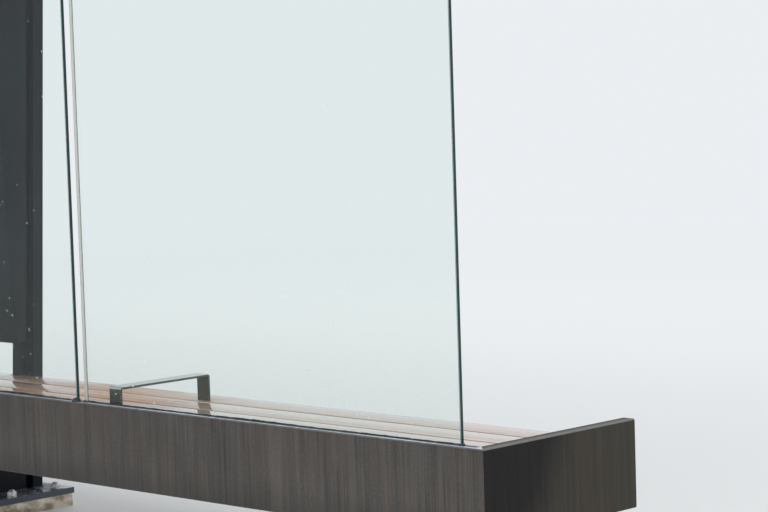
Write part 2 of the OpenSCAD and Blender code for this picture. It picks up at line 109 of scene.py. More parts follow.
def angle(name, text, degrees):
    return FloatProperty(name=name, description=text, default=math.radians(degrees), subtype="ANGLE",
                         unit="ROTATION")


def decimal(name, text, default):
    return FloatProperty(name=name, description=text, default=default, min=0.0)


def number(name, text, default):
    return IntProperty(name=name, description=text, default=default, min=0)


class StageSettings(bpy.types.PropertyGroup):
    """The floor, the lights and the camera"""

    camera_place: FloatVectorProperty(name="Camera place", description="Where the photographer's eye is",
                                      default=(-7.8058, 5.1253, 1.4506), subtype="TRANSLATION", unit="LENGTH")
    camera_yaw: angle("Camera yaw", "Turn from straight across the bench", 43.94)
    camera_pitch: angle("Camera pitch", "Downward tilt", 4.52)
    camera_roll: angle("Camera roll", "Sideways tilt", 1.79)
    camera_lens: decimal("Lens", "Focal length on a 36 mm wide sensor, in millimetres", 112.5)
    floor_colour: colour("Floor", "Colour of the floor", (0.86, 0.86, 0.85))
    sky_colour: colour("Sky", "Colour of the light from all round", (0.83, 0.86, 0.89))
    sky_strength: decimal("Sky strength", "Strength of that light", 1.0)
    lamp_power: FloatProperty(name="Lamp power", description="Power of the large soft lamps", default=170.0,
                              min=0.0, unit="POWER")


class SteelSettings(bpy.types.PropertyGroup):
    """Painted and bare steel"""

    arris: length("Arris", "Rounding of the sheet and bar edges", 0.0012)
    beam_colour: colour("Beam", "Paint of the bench beam", (0.0575, 0.0495, 0.0430))
    # Painted sky reflection: the bright colour of the beam's upper face.
    beam_top_reflection: colour("Ledge", "Wet upper face of the beam", (0.45, 0.49, 0.55))
    panel_colour: colour("End panels", "Paint of the end panels at their free end", (0.044, 0.038, 0.030))
    # Painted dark reflection: the darker colour of the end panels near the corner.
    panel_shade: colour("End panels, corner", "Their paint near the corner", (0.010, 0.0085, 0.0095))
    # Painted highlight: the lighter colour of the end panels' upper faces.
    panel_top_highlight: colour("End panels, top", "Worn upper face of the end panels", (0.125, 0.12, 0.115))
    column_colour: colour("Columns", "Paint of the columns, the arms and the roof's edge",
                          (0.0105, 0.0145, 0.0195))
    # Painted highlight: the lighter colour of the upper faces.
    column_top_highlight: colour("Columns, top", "Upper faces of the same pieces", (0.05, 0.06, 0.07))
    frame_colour: colour("Frame", "Paint of the rail, the straps and the purlins", (0.028, 0.030, 0.032))
    # Painted highlight: the lighter colour of the upper faces.
    frame_top_highlight: colour("Frame, top", "Upper faces of the same pieces", (0.04, 0.045, 0.05))
    plate_colour: colour("Base plates", "Worn paint of the base plates", (0.070, 0.088, 0.120))
    armrest_colour: colour("Armrests", "Dull grey of the armrest legs", (0.088, 0.096, 0.080))
    # Painted sky reflection: the bright colour of the armrests' upper faces.
    armrest_top_reflection: colour("Armrests, top", "Bright upper face of the armrests", (0.60, 0.64, 0.63))
    roof_colour: colour("Roof", "Coated sheet of the roof and the ceiling", (0.20, 0.21, 0.22))


class GlassSettings(bpy.types.PropertyGroup):
    """The five panes"""

    arris: length("Arris", "Width of the ground arris along each edge", 0.0015)
    tint: colour("Tint", "Light that one face of a pane lets through", (0.95, 0.975, 0.965))
    edge_dark: colour("Edge", "Dark green of a polished edge", (0.001, 0.010, 0.012))
    edge_light: colour("Edge middle", "Lighter green along the middle of an edge", (0.012, 0.070, 0.072))
    # Partly painted internal reflection: the pale colours of the ground edge seen through the glass.
    edge_inside: colour("Edge from inside", "Ground edge seen through the glass", (0.66, 0.64, 0.57))
    edge_outside: colour("Edge's outer side", "The same edge on the side away from the seat",
                         (0.74, 0.77, 0.74))
    mirror: share("Mirror", "Share of the full reflection", 0.035)
    haze: share("Haze", "Cover of the dried film on the glass", 0.004)
    drops: number("Drops", "Rain drops on the outside of each pane", 650)


class RubberSettings(bpy.types.PropertyGroup):
    """The rubber and sealant round the foot of the glass"""

    colour: colour("Rubber", "Colour of the rubber", (0.018, 0.021, 0.032))
    bead_width: length("Bead width", "Mean width of the bead on the metal", 0.0024)
    bead_height: length("Bead height", "Mean height of the bead on the glass", 0.0030)
    unevenness: share("Unevenness", "How much the bead wavers", 0.38)
    smear: decimal("Smear", "How many times wider the bead is at its largest corner", 5.0)
    spill: length("Spill", "How far the rubber of a joint has spread over the ledge", 0.013)


class TimberSettings(bpy.types.PropertyGroup):
    """The boards of the seat"""

    ease: length("Eased edge", "Radius along the edges of the boards", 0.0035)
    nose: length("Nose", "Radius along the front edge of the seat", 0.012)
    cup: length("Cup", "How far a board has cupped", 0.0006)
    warm: colour("Dry wood", "Oiled hardwood where it is dry", (0.50, 0.235, 0.110))
    grey: colour("Wet wood", "Weathered, wet hardwood elsewhere", (0.40, 0.285, 0.215))
    dark: colour("Grain", "Dark grain and pores", (0.085, 0.036, 0.018))


class ColumnSettings(bpy.types.PropertyGroup):
    """The two columns"""

    box_rise: length("Box over the seat", "Height of the box's lower end over the seat", 0.112)
    arris: length("Arris", "Rounding of the folds of the boxes", 0.003)


class FootSettings(bpy.types.PropertyGroup):
    """The feet: grout, anchor studs and welds"""

    stud_side: length("Studs from the side", "Distance from the side edges of a plate to the studs", 0.025)
    stud_end: length("Studs from the end", "Distance from the ends of a plate to the outer studs", 0.060)
    stud_radius: length("Stud radius", "Radius of the thread", 0.010)
    pitch: length("Pitch", "Distance between two threads", 0.0025)
    nut_width: length("Nut width", "Width of a nut across its flats", 0.030)
    nut_height: length("Nut height", "Height of a nut", 0.016)
    washer_radius: length("Washer radius", "Radius of a washer", 0.0185)
    washer_height: length("Washer thickness", "Thickness of a washer", 0.003)
    weld: length("Weld", "Leg of the fillet welds", 0.006)
    stud_over: length("Stud over the nut", "How far a stud stands out of its nut", 0.005)
    grout_wear: length("Grout wear", "Deepest hollow in the sides of the grout", 0.006)


class RoofSettings(bpy.types.PropertyGroup):
    """The roof's panels and their fixings"""

    panels: number("Panels", "Panels in the ceiling and in the roof", 6)
    joint: length("Joint", "Open joint between the ceiling panels", 0.006)
    cover: length("Cover", "Width of the strips over the joints of the roof", 0.060)
    screws: number("Screws", "Screws along each side of a ceiling panel", 6)


SETTINGS = {
    "shelter_stage": StageSettings,
    "shelter_steel": SteelSettings,
    "shelter_glass": GlassSettings,
    "shelter_rubber": RubberSettings,
    "shelter_timber": TimberSettings,
    "shelter_columns": ColumnSettings,
    "shelter_feet": FootSettings,
    "shelter_roof": RoofSettings,
}


# Materials


class Wire:
    """An output of a node. Arithmetic on it, from either side, adds Math nodes."""

    def __init__(self, finish, socket):
        self.finish = finish
        self.socket = socket

    def math(self, operation, first, second):
        return self.finish.node("ShaderNodeMath", {"operation": operation}, {0: first, 1: second})

    def __add__(self, other):
        return self.math("ADD", self, other)

    def __radd__(self, other):
        return self.math("ADD", other, self)

    def __sub__(self, other):
        return self.math("SUBTRACT", self, other)

    def __rsub__(self, other):
        return self.math("SUBTRACT", other, self)

    def __mul__(self, other):
        return self.math("MULTIPLY", self, other)

    def __rmul__(self, other):
        return self.math("MULTIPLY", other, self)

    def __truediv__(self, other):
        return self.math("DIVIDE", self, other)

    def __rtruediv__(self, other):
        return self.math("DIVIDE", other, self)

    def __abs__(self):
        return self.math("ABSOLUTE", self, 0.0)

    def rise(self, low, high):
        """0 below low, 1 above high and a smooth step between; high below low turns it round."""
        return self.finish.node("ShaderNodeMapRange", {"interpolation_type": "SMOOTHSTEP"},
                                {"Value": self, "From Min": low, "From Max": high})


class Finish:
    """A material and the nodes that work out its colour, roughness and relief from the place."""

    def __init__(self, name):
        self.material = bpy.data.materials.new(name)
        self.material.use_nodes = True
        self.tree = self.material.node_tree
        self.tree.nodes.clear()
        self.place = self.node("ShaderNodeTexCoord", output="Object")

    def node(self, kind, settings=None, sockets=None, output=0):
        """Adds a node, sets its settings, then gives each socket a value or a link, and returns an output."""
        node = self.tree.nodes.new(kind)
        for key, value in (settings or {}).items():
            setattr(node, key, value)
        for key, value in (sockets or {}).items():
            if isinstance(value, Wire):
                self.tree.links.new(value.socket, node.inputs[key])
            else:
                node.inputs[key].default_value = value
        return Wire(self, node.outputs[output])

    def stretched(self, count, place=None):
        """A place, or else that on the object, times one number or times one for each axis."""
        scale = count if isinstance(count, tuple) else (count,) * 3
        return self.node("ShaderNodeMapping", None, {"Vector": place or self.place, "Scale": scale})

    def noise(self, count, detail=3.0, rough=0.5, place=None, distortion=0.0):
        """Cloudy pattern from about 0 to 1 with so many clouds a metre, along all axes or along each."""
        sockets = {"Scale": 1.0, "Detail": detail, "Roughness": rough, "Distortion": distortion}
        return self.node("ShaderNodeTexNoise", None, {"Vector": self.stretched(count, place), **sockets})

    def cells(self, count, output="Distance"):
        """Distance to the nearest of many points, so many of them a metre, or that point's colour."""
        sockets = {"Vector": self.stretched(count), "Scale": 1.0}
        return self.node("ShaderNodeTexVoronoi", None, sockets, output)

    def along(self, axis):
        """One coordinate of the place on the object, in metres."""
        return self.node("ShaderNodeSeparateXYZ", None, {0: self.place}, axis)

    def facing_up(self, low=0.5, high=0.9):
        """1 on surfaces that face up and 0 on others: a step over the normal's height from low to high."""
        normal = self.node("ShaderNodeNewGeometry", output="Normal")
        return self.node("ShaderNodeSeparateXYZ", None, {0: normal}, "Z").rise(low, high)

    def blend(self, amount, first, second):
        """First colour where amount is 0, second where it is 1."""
        sockets = {0: amount, 6: first, 7: second}
        for key in (6, 7):
            if not isinstance(sockets[key], Wire):
                sockets[key] = (*sockets[key], 1.0)
        return self.node("ShaderNodeMix", {"data_type": "RGBA"}, sockets, 2)

    def vary(self, amount, colour, low, high):
        """A colour times low where amount is 0 and times high where it is 1."""
        return self.blend(amount, shade(colour, low), shade(colour, high))

    def scale(self, colour, factor):
        """A colour made lighter or darker by a factor."""
        return self.node("ShaderNodeVectorMath", {"operation": "SCALE"}, {0: colour, "Scale": factor})

    def shader(self, colour, roughness, **others):
        """The main shader; the others are given by their socket's name with _ for a space."""
        sockets = {key.replace("_", " "): value for key, value in others.items()}
        sockets["Base Color"] = colour if isinstance(colour, Wire) else (*colour, 1.0)
        return self.node("ShaderNodeBsdfPrincipled", None, {**sockets, "Roughness": roughness})

    def embossed(self, colour, roughness, height, depth, strength, **others):
        """The material of the main shader over a relief whose height runs from 0 to 1 over that depth."""
        sockets = {"Height": height, "Distance": depth, "Strength": strength}
        relief = self.node("ShaderNodeBump", None, sockets)
        return self.out(self.shader(colour, roughness, Normal=relief, **others))

    def out(self, shader):
        """Closes the tree with that shader and returns the material."""
        end = self.tree.nodes.new("ShaderNodeOutputMaterial")
        self.tree.links.new(shader.socket, end.inputs["Surface"])
        return self.material


def shade(colour, factor):
    """A colour made lighter or darker by a factor."""
    return tuple(min(1.0, part * factor) for part in colour)


def streaked_paint(name, paint, top, roughness, specular, streak, wet=0.5, box=None, shaded=None):
    """
    Satin paint with uneven vertical rain streaks, broad stains, dried runs and specks, and a painted sky
    reflection that lightens the upper faces, varied by wear.

    With a box, the paint darkens in the middle of its length, and painted shade darkens it towards the box's
    foot and along the fold at its outer upper edge, where the upper face also loses its painted reflection.
    Without one, a painted highlight makes the upper faces brightest along the two ends of the bench. With a
    shaded colour, a painted dark reflection gives the paint that colour towards the back of the shelter and
    above a slanting line.
    """
    finish = Finish(name)
    hair = finish.noise((330, 330, 4.0), 2.0, 0.6)
    fine = finish.noise((120, 120, 2.4), 3.0, 0.6)
    wide = finish.noise((30, 30, 1.6), 3.0, 0.6)
    broad = finish.noise((5, 5, 3.5), 4.0, 0.55)
    mottle = finish.noise((210, 210, 190), 2.0, 0.7)
    runs = finish.noise((75, 75, 0.9), 1.0).rise(0.40, 0.30) * finish.noise((6, 6, 5.0), 2.0).rise(0.36, 0.56)
    drips = finish.noise((120, 120, 3.6), 1.0).rise(0.70, 0.80) * finish.noise(9, 2.0).rise(0.52, 0.64)
    specks = finish.cells(150).rise(0.14, 0.05) * finish.noise(14).rise(0.52, 0.7)
    if shaded:
        # Painted dark reflection: towards the back and above a slanting line, the paint takes the shaded
        # colour.
        back = finish.along("Y") + finish.along("Z") * 0.6 + (finish.noise((9, 9, 5.0)) - 0.5) * 0.16
        paint_and_painted_reflection = finish.blend(back.rise(0.62, 0.79), paint, shaded)
    else:
        paint_and_painted_reflection = finish.vary(broad.rise(0.32, 0.68), paint, 1.12, 0.88)
    dark = finish.scale(paint_and_painted_reflection, 1.0 - 0.30 * streak)
    light = finish.scale(paint_and_painted_reflection, 1.0 + 0.32 * streak)
    lines = hair * 0.22 + fine * 0.24 + wide * 0.26 + mottle * 0.28
    tone = finish.blend(lines.rise(0.38, 0.62), dark, light)
    tone = finish.scale(tone, 1.0 - runs * 0.34 * streak)
    warm, cool = (finish.node("ShaderNodeVectorMath", {"operation": "MULTIPLY"}, {0: tone, 1: tint})
                  for tint in ((1.06, 0.99, 0.94), (0.97, 1.01, 1.00)))
    tone = finish.blend(finish.noise((22, 22, 2.6)).rise(0.38, 0.62), warm, cool)
    tone = finish.blend(drips * 0.30, tone, shade(paint, 2.2))
    tone = finish.blend(specks * 0.30, tone, shade(paint, 2.6))
    upward = finish.facing_up(0.12, 0.55)
    worn = finish.noise(38, 4.0, 0.6).rise(0.25, 0.75)
    if box:
        low, high = box
        # Painted shade: the paint darkens towards the box's foot.
        foot = finish.along("Z").rise(low[2] + 0.10, low[2])
        # Painted shade along the fold under the outer upper edge; near that edge the upper face also loses
        # its painted reflection.
        fold = finish.along("Z").rise(high[2] - 0.011, high[2] - 0.003)
        middle = abs(finish.along("X")).rise(high[0] * 0.655, high[0] * 0.59)
        tone = finish.scale(tone, 1.0 - foot * 0.32 - fold * 0.14 - middle * 0.19)
        upward = upward * (1.0 - finish.along("Y").rise(high[1] - 0.0045, high[1] - 0.0020) * 0.85)
        painted_top_light_and_wear = finish.vary(worn, top, 0.75, 1.15)
    else:
        # Painted highlight: the top colour grows lighter towards the outer ends of the bench.
        edge = span("end_panel_right", 0)[1]
        outer = abs(finish.along("X")).rise(edge - 0.030, edge - 0.002)
        painted_top_light_and_wear = finish.vary(outer, top, 0.75, 1.80)
    # Painted sky reflection: faces that point up take the lighter top colour, varied by wear.
    tone = finish.blend(upward * (0.75 + worn * 0.25), tone, painted_top_light_and_wear)
    height = finish.noise(900, 2.0) * 0.4 + fine * 0.3 + mottle * 0.3
    rough = roughness + (broad - 0.5) * 0.20 - drips * 0.10
    rough = rough - upward * (wet * 0.7 + worn * wet * 0.3) * roughness
    return finish.embossed(tone, rough, height, 0.00012, 0.5, Specular_IOR_Level=specular)


def armrest_metal(tone, top):
    """Dull metal with brush marks along the bars and stains, and a painted sky reflection that lightens the
    upper face.
    """
    finish = Finish("armrest_metal")
    marks = finish.noise((700, 6, 700), 2.0)
    stains = finish.noise(30, 4.0, 0.6)
    upward = finish.facing_up(0.15, 0.5)
    body = finish.vary(stains.rise(0.3, 0.7), tone, 0.8, 1.2)
    body = finish.blend(marks.rise(0.3, 0.7) * 0.35, body, shade(tone, 1.5))
    # Painted sky reflection: the upper face takes the bright top colour.
    body = finish.blend(upward * (0.8 + stains * 0.2), body, top)
    rough = 0.40 + (stains - 0.5) * 0.25 + (marks - 0.5) * 0.12
    return finish.embossed(body, rough, marks, 0.00005, 0.5, Metallic=0.80)


def oiled_wood(timber, bay):
    """
    Hardwood: long grain drawn out along the board, pores, a tone for each board, and a film of rain.

    The film mirrors the sky at a low angle. It is thin where the cosine of the distance along the bench is
    highest, once in two bays, and the wood is warmer there.
    """
    finish = Finish("oiled_hardwood")
    board = finish.node("ShaderNodeAttribute", {"attribute_name": "board"}, output="Fac")
    shifted = finish.node("ShaderNodeCombineXYZ", None, {0: board * 7.0, 1: board * 3.0, 2: board * 5.0})
    place = finish.node("ShaderNodeVectorMath", {"operation": "ADD"}, {0: finish.place, 1: shifted})
    grain = finish.noise((1.6, 150, 150), 5.0, 0.6, place, 0.35)
    figure = finish.noise((0.7, 30, 30), 3.0, 0.6, place, 0.35)
    pores = finish.noise((14, 900, 900), 1.0, 0.6, place, 0.35)
    patches = finish.noise((2.4, 7.0, 7.0), 4.0)
    turns = finish.along("X") * (math.pi / bay) + 1.25 * math.pi
    dry = finish.node("ShaderNodeMath", {"operation": "COSINE"}, {0: turns})
    wet = (dry + (patches - 0.5) * 1.3).rise(1.15, 0.45)
    tone = finish.vary(figure.rise(0.3, 0.7), timber.warm, 0.75, 1.2)
    greyed = finish.vary(figure.rise(0.3, 0.7), timber.grey, 0.78, 1.15)
    tone = finish.blend(wet * 0.80 + board * 0.25 - 0.12, tone, greyed)
    tone = finish.blend(grain.rise(0.50, 0.78) * 0.5, tone, timber.dark)
    tone = finish.blend(pores.rise(0.6, 0.75) * 0.35, tone, timber.dark)
    height = grain * 0.6 + pores * 0.4
    rough = 0.55 - wet * 0.15 + (grain - 0.5) * 0.20
    film = wet * 0.75 + 0.25 - pores.rise(0.5, 0.8) * 0.2
    return finish.embossed(tone, rough, height, 0.0004, 0.5, Coat_Roughness=0.06, Coat_Weight=film)


def clear_glass(glass):
    """See-through pane face: a tinted hole, a mirror that grows at low angles, and dried film and spots."""
    finish = Finish("clear_glass")
    film = finish.noise((7, 7, 2.4), 4.0, 0.6).rise(0.3, 0.8)
    drips = finish.noise((60, 60, 0.9), 2.0).rise(0.60, 0.72)
    low = finish.along("Z").rise(1.4, 0.52)
    dots = finish.cells(90).rise(0.13, 0.06)
    sparse = finish.noise(3.5, 2.0).rise(0.42, 0.62)
    cover = glass.haze * (0.4 + film * 0.8 + low * 1.4 + drips * 0.8) + dots * sparse * 0.25
    hole = finish.node("ShaderNodeBsdfTransparent", None, {"Color": (*glass.tint, 1.0)})
    mirror = finish.shader((1.0, 1.0, 1.0), 0.02, Metallic=1.0)
    fresnel = finish.node("ShaderNodeFresnel", None, {"IOR": 1.5})
    pane = finish.node("ShaderNodeMixShader", None, {0: fresnel * glass.mirror, 1: hole, 2: mirror})
    dust = finish.shader((0.80, 0.83, 0.82), 0.35)
    return finish.out(finish.node("ShaderNodeMixShader", None, {0: cover, 1: pane, 2: dust}))


def glass_edge(glass, middle_y, half):
    """Polished edge of the panes: dark green at both faces and lighter along the middle."""
    finish = Finish("glass_edge")
    off = abs(finish.along("Y") - middle_y) / half
    wavy = finish.noise((4, 4, 9)) * 0.3
    tone = finish.blend((off + wavy).rise(0.30, 0.85), glass.edge_light, glass.edge_dark)
    return finish.out(finish.shader(tone, 0.16, Specular_IOR_Level=0.22))


def ground_edge_and_reflection(glass, middle_y, half):
    """Ground edge of a pane as it shows through the glass: pale, duller towards the street, with a mottle.
    Its pale colour is partly the edge's own and partly a painted internal reflection.
    """
    finish = Finish("ground_edge_and_reflection")
    mottle = finish.noise((60, 60, 30))
    outer = ((finish.along("Y") - middle_y) / half).rise(-0.45, 0.25)
    # Pale colour: the ground edge's own, with a painted internal reflection.
    tone = finish.vary(mottle, glass.edge_inside, 0.9, 1.1)
    tone = finish.blend(outer, tone, glass.edge_outside)
    return finish.out(finish.shader(tone, 0.6))


def rain_drop():
    """Clear drop whose pale colour is a painted highlight: the sky's reflection on its skin."""
    finish = Finish("rain_drop")
    shine = finish.noise(700, 1.0)
    # Painted highlight: the pale colour stands in for the sky's reflection on the drop.
    return finish.out(finish.shader((0.88, 0.92, 0.92), 0.03 + shine * 0.08, Alpha=0.55))


def black_rubber(rubber):
    """Dark rubber with a dusty bloom and a lumpy skin."""
    finish = Finish("black_rubber")
    bloom = finish.noise(80, 4.0, 0.65)
    tone = finish.blend(bloom.rise(0.4, 0.8) * 0.6, rubber.colour, (0.06, 0.064, 0.075))
    return finish.embossed(tone, 0.34 + bloom * 0.3, bloom, 0.0006, 0.8)


def rough_grout():
    """Cement grout: beige mottle, grit and damp stains, darker near the ground."""
    finish = Finish("rough_grout")
    mottle = finish.noise((15, 15, 24), 6.0, 0.65)
    grit = finish.noise(320)
    stain = finish.noise((9, 9, 14))
    low = finish.along("Z").rise(0.030, 0.004)
    tone = finish.blend(mottle.rise(0.36, 0.62), (0.33, 0.265, 0.185), (0.88, 0.81, 0.67))
    tone = finish.blend(grit.rise(0.55, 0.8) * 0.5, tone, (0.18, 0.15, 0.11))
    tone = finish.blend(stain.rise(0.5, 0.7) * 0.6, tone, (0.20, 0.17, 0.115))
    tone = finish.blend(low * 0.30, tone, (0.16, 0.14, 0.11))
    return finish.embossed(tone, 0.86 - stain * 0.15, mottle * 0.6 + grit * 0.4, 0.003, 0.8)


def worn_plate(paint):
    """Paint worn through to grey zinc, with water lying in patches."""
    finish = Finish("worn_plate_paint")
    wear = finish.noise(34, 5.0, 0.65)
    water = finish.noise(19)
    upward = finish.facing_up()
    tone = finish.blend(wear.rise(0.45, 0.62) * upward, paint, (0.27, 0.28, 0.29))
    tone = finish.blend(water.rise(0.5, 0.6) * upward * 0.35, tone, (0.12, 0.13, 0.14))
    rough = 0.50 + (wear - 0.5) * 0.3 - water.rise(0.48, 0.56) * upward * 0.38
    return finish.embossed(tone, rough, wear, 0.0004, 0.6, Metallic=0.25)


def bright_zinc():
    """Zinc with a spangle and dull patches."""
    finish = Finish("bright_zinc")
    spangle = finish.cells(260, output="Color")
    dull = finish.noise(90)
    tone = finish.blend(dull.rise(0.35, 0.7), (0.80, 0.81, 0.80), (0.36, 0.37, 0.37))
    tone = finish.blend(0.12, tone, spangle)
    return finish.embossed(tone, 0.28 + dull * 0.3, dull, 0.0002, 0.6, Metallic=0.9)


def coated_sheet(paint):
    """Coated sheet: a fine grain, dust and rain marks, paler where it faces up."""
    finish = Finish("coated_sheet")
    dust = finish.noise(3.2, 5.0, 0.6)
    spots = finish.cells(55).rise(0.5, 0.1)
    upward = finish.facing_up()
    tone = finish.vary(dust.rise(0.3, 0.75), paint, 0.85, 1.15)
    tone = finish.blend(upward * (dust.rise(0.35, 0.65) * 0.3 + spots * 0.15), tone, shade(paint, 1.35))
    return finish.embossed(tone, 0.55 + (dust - 0.5) * 0.3, finish.noise(800, 2.0), 0.0001, 0.4)


# Surfaces


SQUARE = np.array([(-1, -1), (1, -1), (1, 1), (-1, 1)], float)


def circle(steps):
    """Angles of so many steps round a full circle."""
    return np.linspace(0, 2 * math.pi, steps, endpoint=False)


def spread(x, y, z):
    """Points whose three coordinates are spread over one grid."""
    return np.stack(np.broadcast_arrays(x, y, z), axis=-1)


def volume(polygons):
    """Six times the volume between the origin and the polygons, each cut into a fan of triangles."""
    fans = np.cross(polygons[:, 1:-1], polygons[:, 2:])
    return np.einsum("ik,ijk->", polygons[:, 0], fans)


def linked(name, data):
    """A new object with that data, linked to the scene."""
    holder = bpy.data.objects.new(name, data)
    bpy.context.scene.collection.objects.link(holder)
    return holder


class Shell:
    """Closed surfaces of one piece, gathered as arrays and made into one mesh."""

    def __init__(self):
        self.points = []
        self.faces = []
        self.finishes = []
        self.tones = []
        self.count = 0

    def tubes(self, rings, ring_closed=False, finish=0, cap_finish=None, tone=0.0):
        """
        Adds tubes whose skin is a function of two parameters: the ring along the tube and the step round it.

        The array has the shape (tubes, rings, steps, 3). Each tube's ends are closed by one face, or its last
        ring is joined to its first. Faces whose winding gives a negative volume are turned round.
        """
        rings = np.asarray(rings, float)
        if rings.ndim == 3:
            rings = rings[None]
        tubes, along, around, _ = rings.shape
        index = self.count + np.arange(tubes * along * around).reshape(tubes, along, around)
        lap = np.concatenate([index, index[:, :, :1]], axis=2)
        if ring_closed:
            lap = np.concatenate([lap, lap[:, :1]], axis=1)
        sides = np.stack([lap[:, :-1, :-1], lap[:, :-1, 1:], lap[:, 1:, 1:], lap[:, 1:, :-1]], axis=-1)
        faces = [sides.reshape(-1, 4)]
        if not ring_closed:
            faces += [index[:, 0, ::-1], index[:, -1]]
        points = rings.reshape(-1, 3)
        first = rings[0].reshape(-1, 3) - rings[0].mean(axis=(0, 1))
        if sum(volume(first[face[:len(face) // tubes] - self.count]) for face in faces) < 0:
            faces = [face[:, ::-1] for face in faces]
        for part, face in enumerate(faces):
            self.faces.append(face)
            used = cap_finish if part and cap_finish is not None else finish
            self.finishes.append(np.full(len(face), used))
        self.points.append(points)
        self.tones.append(np.full(len(points), tone))
        self.count += len(points)

    def build(self, name, materials, slot, replaced=(), sharp=35.0, attribute=None):
        """Makes the mesh and its object, which rides on the shelter and stands for the replaced nodes."""
        mesh = bpy.data.meshes.new(name)
        corners = np.concatenate([face.ravel() for face in self.faces])
        sizes = np.concatenate([np.full(len(face), face.shape[1]) for face in self.faces])
        mesh.vertices.add(self.count)
        mesh.vertices.foreach_set("co", np.concatenate(self.points).ravel())
        mesh.loops.add(len(corners))
        mesh.loops.foreach_set("vertex_index", corners)
        mesh.polygons.add(len(sizes))
        mesh.polygons.foreach_set("loop_start", np.concatenate([[0], np.cumsum(sizes)[:-1]]))
        mesh.polygons.foreach_set("material_index", np.concatenate(self.finishes))
        mesh.polygons.foreach_set("use_smooth", np.ones(len(sizes), bool))
        mesh.update(calc_edges=True)
        mesh.set_sharp_from_angle(angle=math.radians(sharp))
        if attribute:
            tones = mesh.attributes.new(attribute, "FLOAT", "POINT")
            tones.data.foreach_set("value", np.concatenate(self.tones))
        for material in materials:
            mesh.materials.append(material)
        piece = linked(name, mesh)
        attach(piece, BODY)
        if replaced:
            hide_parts(*replaced)


def waver(place, seed, wavelength, waves=5):
    """
    Uneven line between about -1 and 1: a sum of sine waves with seeded phases, each shorter than the last by
    one ratio and lower by another.
    """
    phases = np.random.default_rng(seed).uniform(0, 2 * math.pi, waves)
    shorter, lower = 1.83 ** np.arange(waves), 0.72 ** np.arange(waves)
    turns = 2 * math.pi * np.asarray(place)[..., None] / wavelength * shorter + phases
    return (np.sin(turns) * lower).sum(axis=-1) / lower.sum()


def rounded_box_section(low, high, radii, steps=4):
    """
    Outline of a rectangle with rounded corners, in two coordinates, going round once.

    Each corner is a quarter circle: its centre plus its radius times the cosine and the sine of the angle.
    The radii start at the low, low corner and go round by high, low.
    """
    radii = np.asarray(radii, float)[:, None, None]
    low, high = np.asarray(low, float), np.asarray(high, float)
    corner = np.where(SQUARE > 0, high, low)[:, None]
    starts = np.radians([180.0, 270.0, 0.0, 90.0])[:, None]
    turn = starts + np.linspace(0, math.pi / 2, steps)
    arc = np.stack([np.cos(turn), np.sin(turn)], axis=-1)
    return (corner - SQUARE[:, None] * radii + arc * radii).reshape(-1, 2)


def evenly(outline, step):
    """
    Points spaced evenly round a closed outline, the outward direction at each and the distance walked.

    The outline's own corners are kept. Outward is the line between a point's two neighbours, turned by a
    right angle.
    """
    loop = np.vstack([outline, outline[:1]])
    walked = np.concatenate([[0], np.cumsum(np.linalg.norm(np.diff(loop, axis=0), axis=1))])
    spaced = np.linspace(0, walked[-1], int(walked[-1] / step), endpoint=False)
    places = np.unique(np.concatenate([spaced, walked[:-1]]).round(6))
    points = np.stack([np.interp(places, walked, loop[:, axis]) for axis in (0, 1)], axis=-1)
    ahead = np.roll(points, -1, axis=0) - np.roll(points, 1, axis=0)
    outward = np.stack([ahead[:, 1], -ahead[:, 0]], axis=-1)
    return points, outward / np.linalg.norm(outward, axis=1, keepdims=True), places


def block(low, high, arris, axis):
    """Box carried along an axis from end to end: its rectangle shrinks by the arris at both ends."""
    low, high = np.asarray(low, float), np.asarray(high, float)
    across = [other for other in range(3) if other != axis]
    middle, half = (low + high)[across] / 2, (high - low)[across] / 2
    inset = np.array([arris, 0.0, 0.0, arris])[:, None, None]
    rings = np.empty((4, 4, 3))
    rings[:, :, across] = middle + SQUARE * (half - inset)
    rings[:, :, axis] = np.array([low[axis], low[axis] + arris, high[axis] - arris, high[axis]])[:, None]
    return rings


def turned(places, radius, height, steps, flats=0, down=False):
    """
    Turned parts, one at each place: a radius and a height for each ring, and a full circle of steps round.

    With flats, a ring's radius is at most that of the regular polygon: its inner radius, which is the largest
    ring times the cosine of half its angle, over the cosine of the angle from the nearest flat's middle.
    """
    radius, height = np.asarray(radius, float)[:, None], np.asarray(height, float)[:, None]
    turn = circle(steps)
    if flats:
        half = math.pi / flats
        polygon = radius.max() * math.cos(half) / np.cos((turn + half) % (2 * half) - half)
        radius = np.minimum(radius, polygon)
    height = -height if down else height
    shape = spread(radius * np.cos(turn), radius * np.sin(turn), height)
    return np.asarray(places, float)[:, None, None] + shape


def fixings(name, places, radius, height, steps, flats, down, sharp):
    """One zinc piece of small turned heads, one at each place."""
    shell = Shell()
    shell.tubes(turned(places, radius, height, steps, flats, down))
    shell.build(name, [bright_zinc()], "zinc_steel", sharp=sharp)


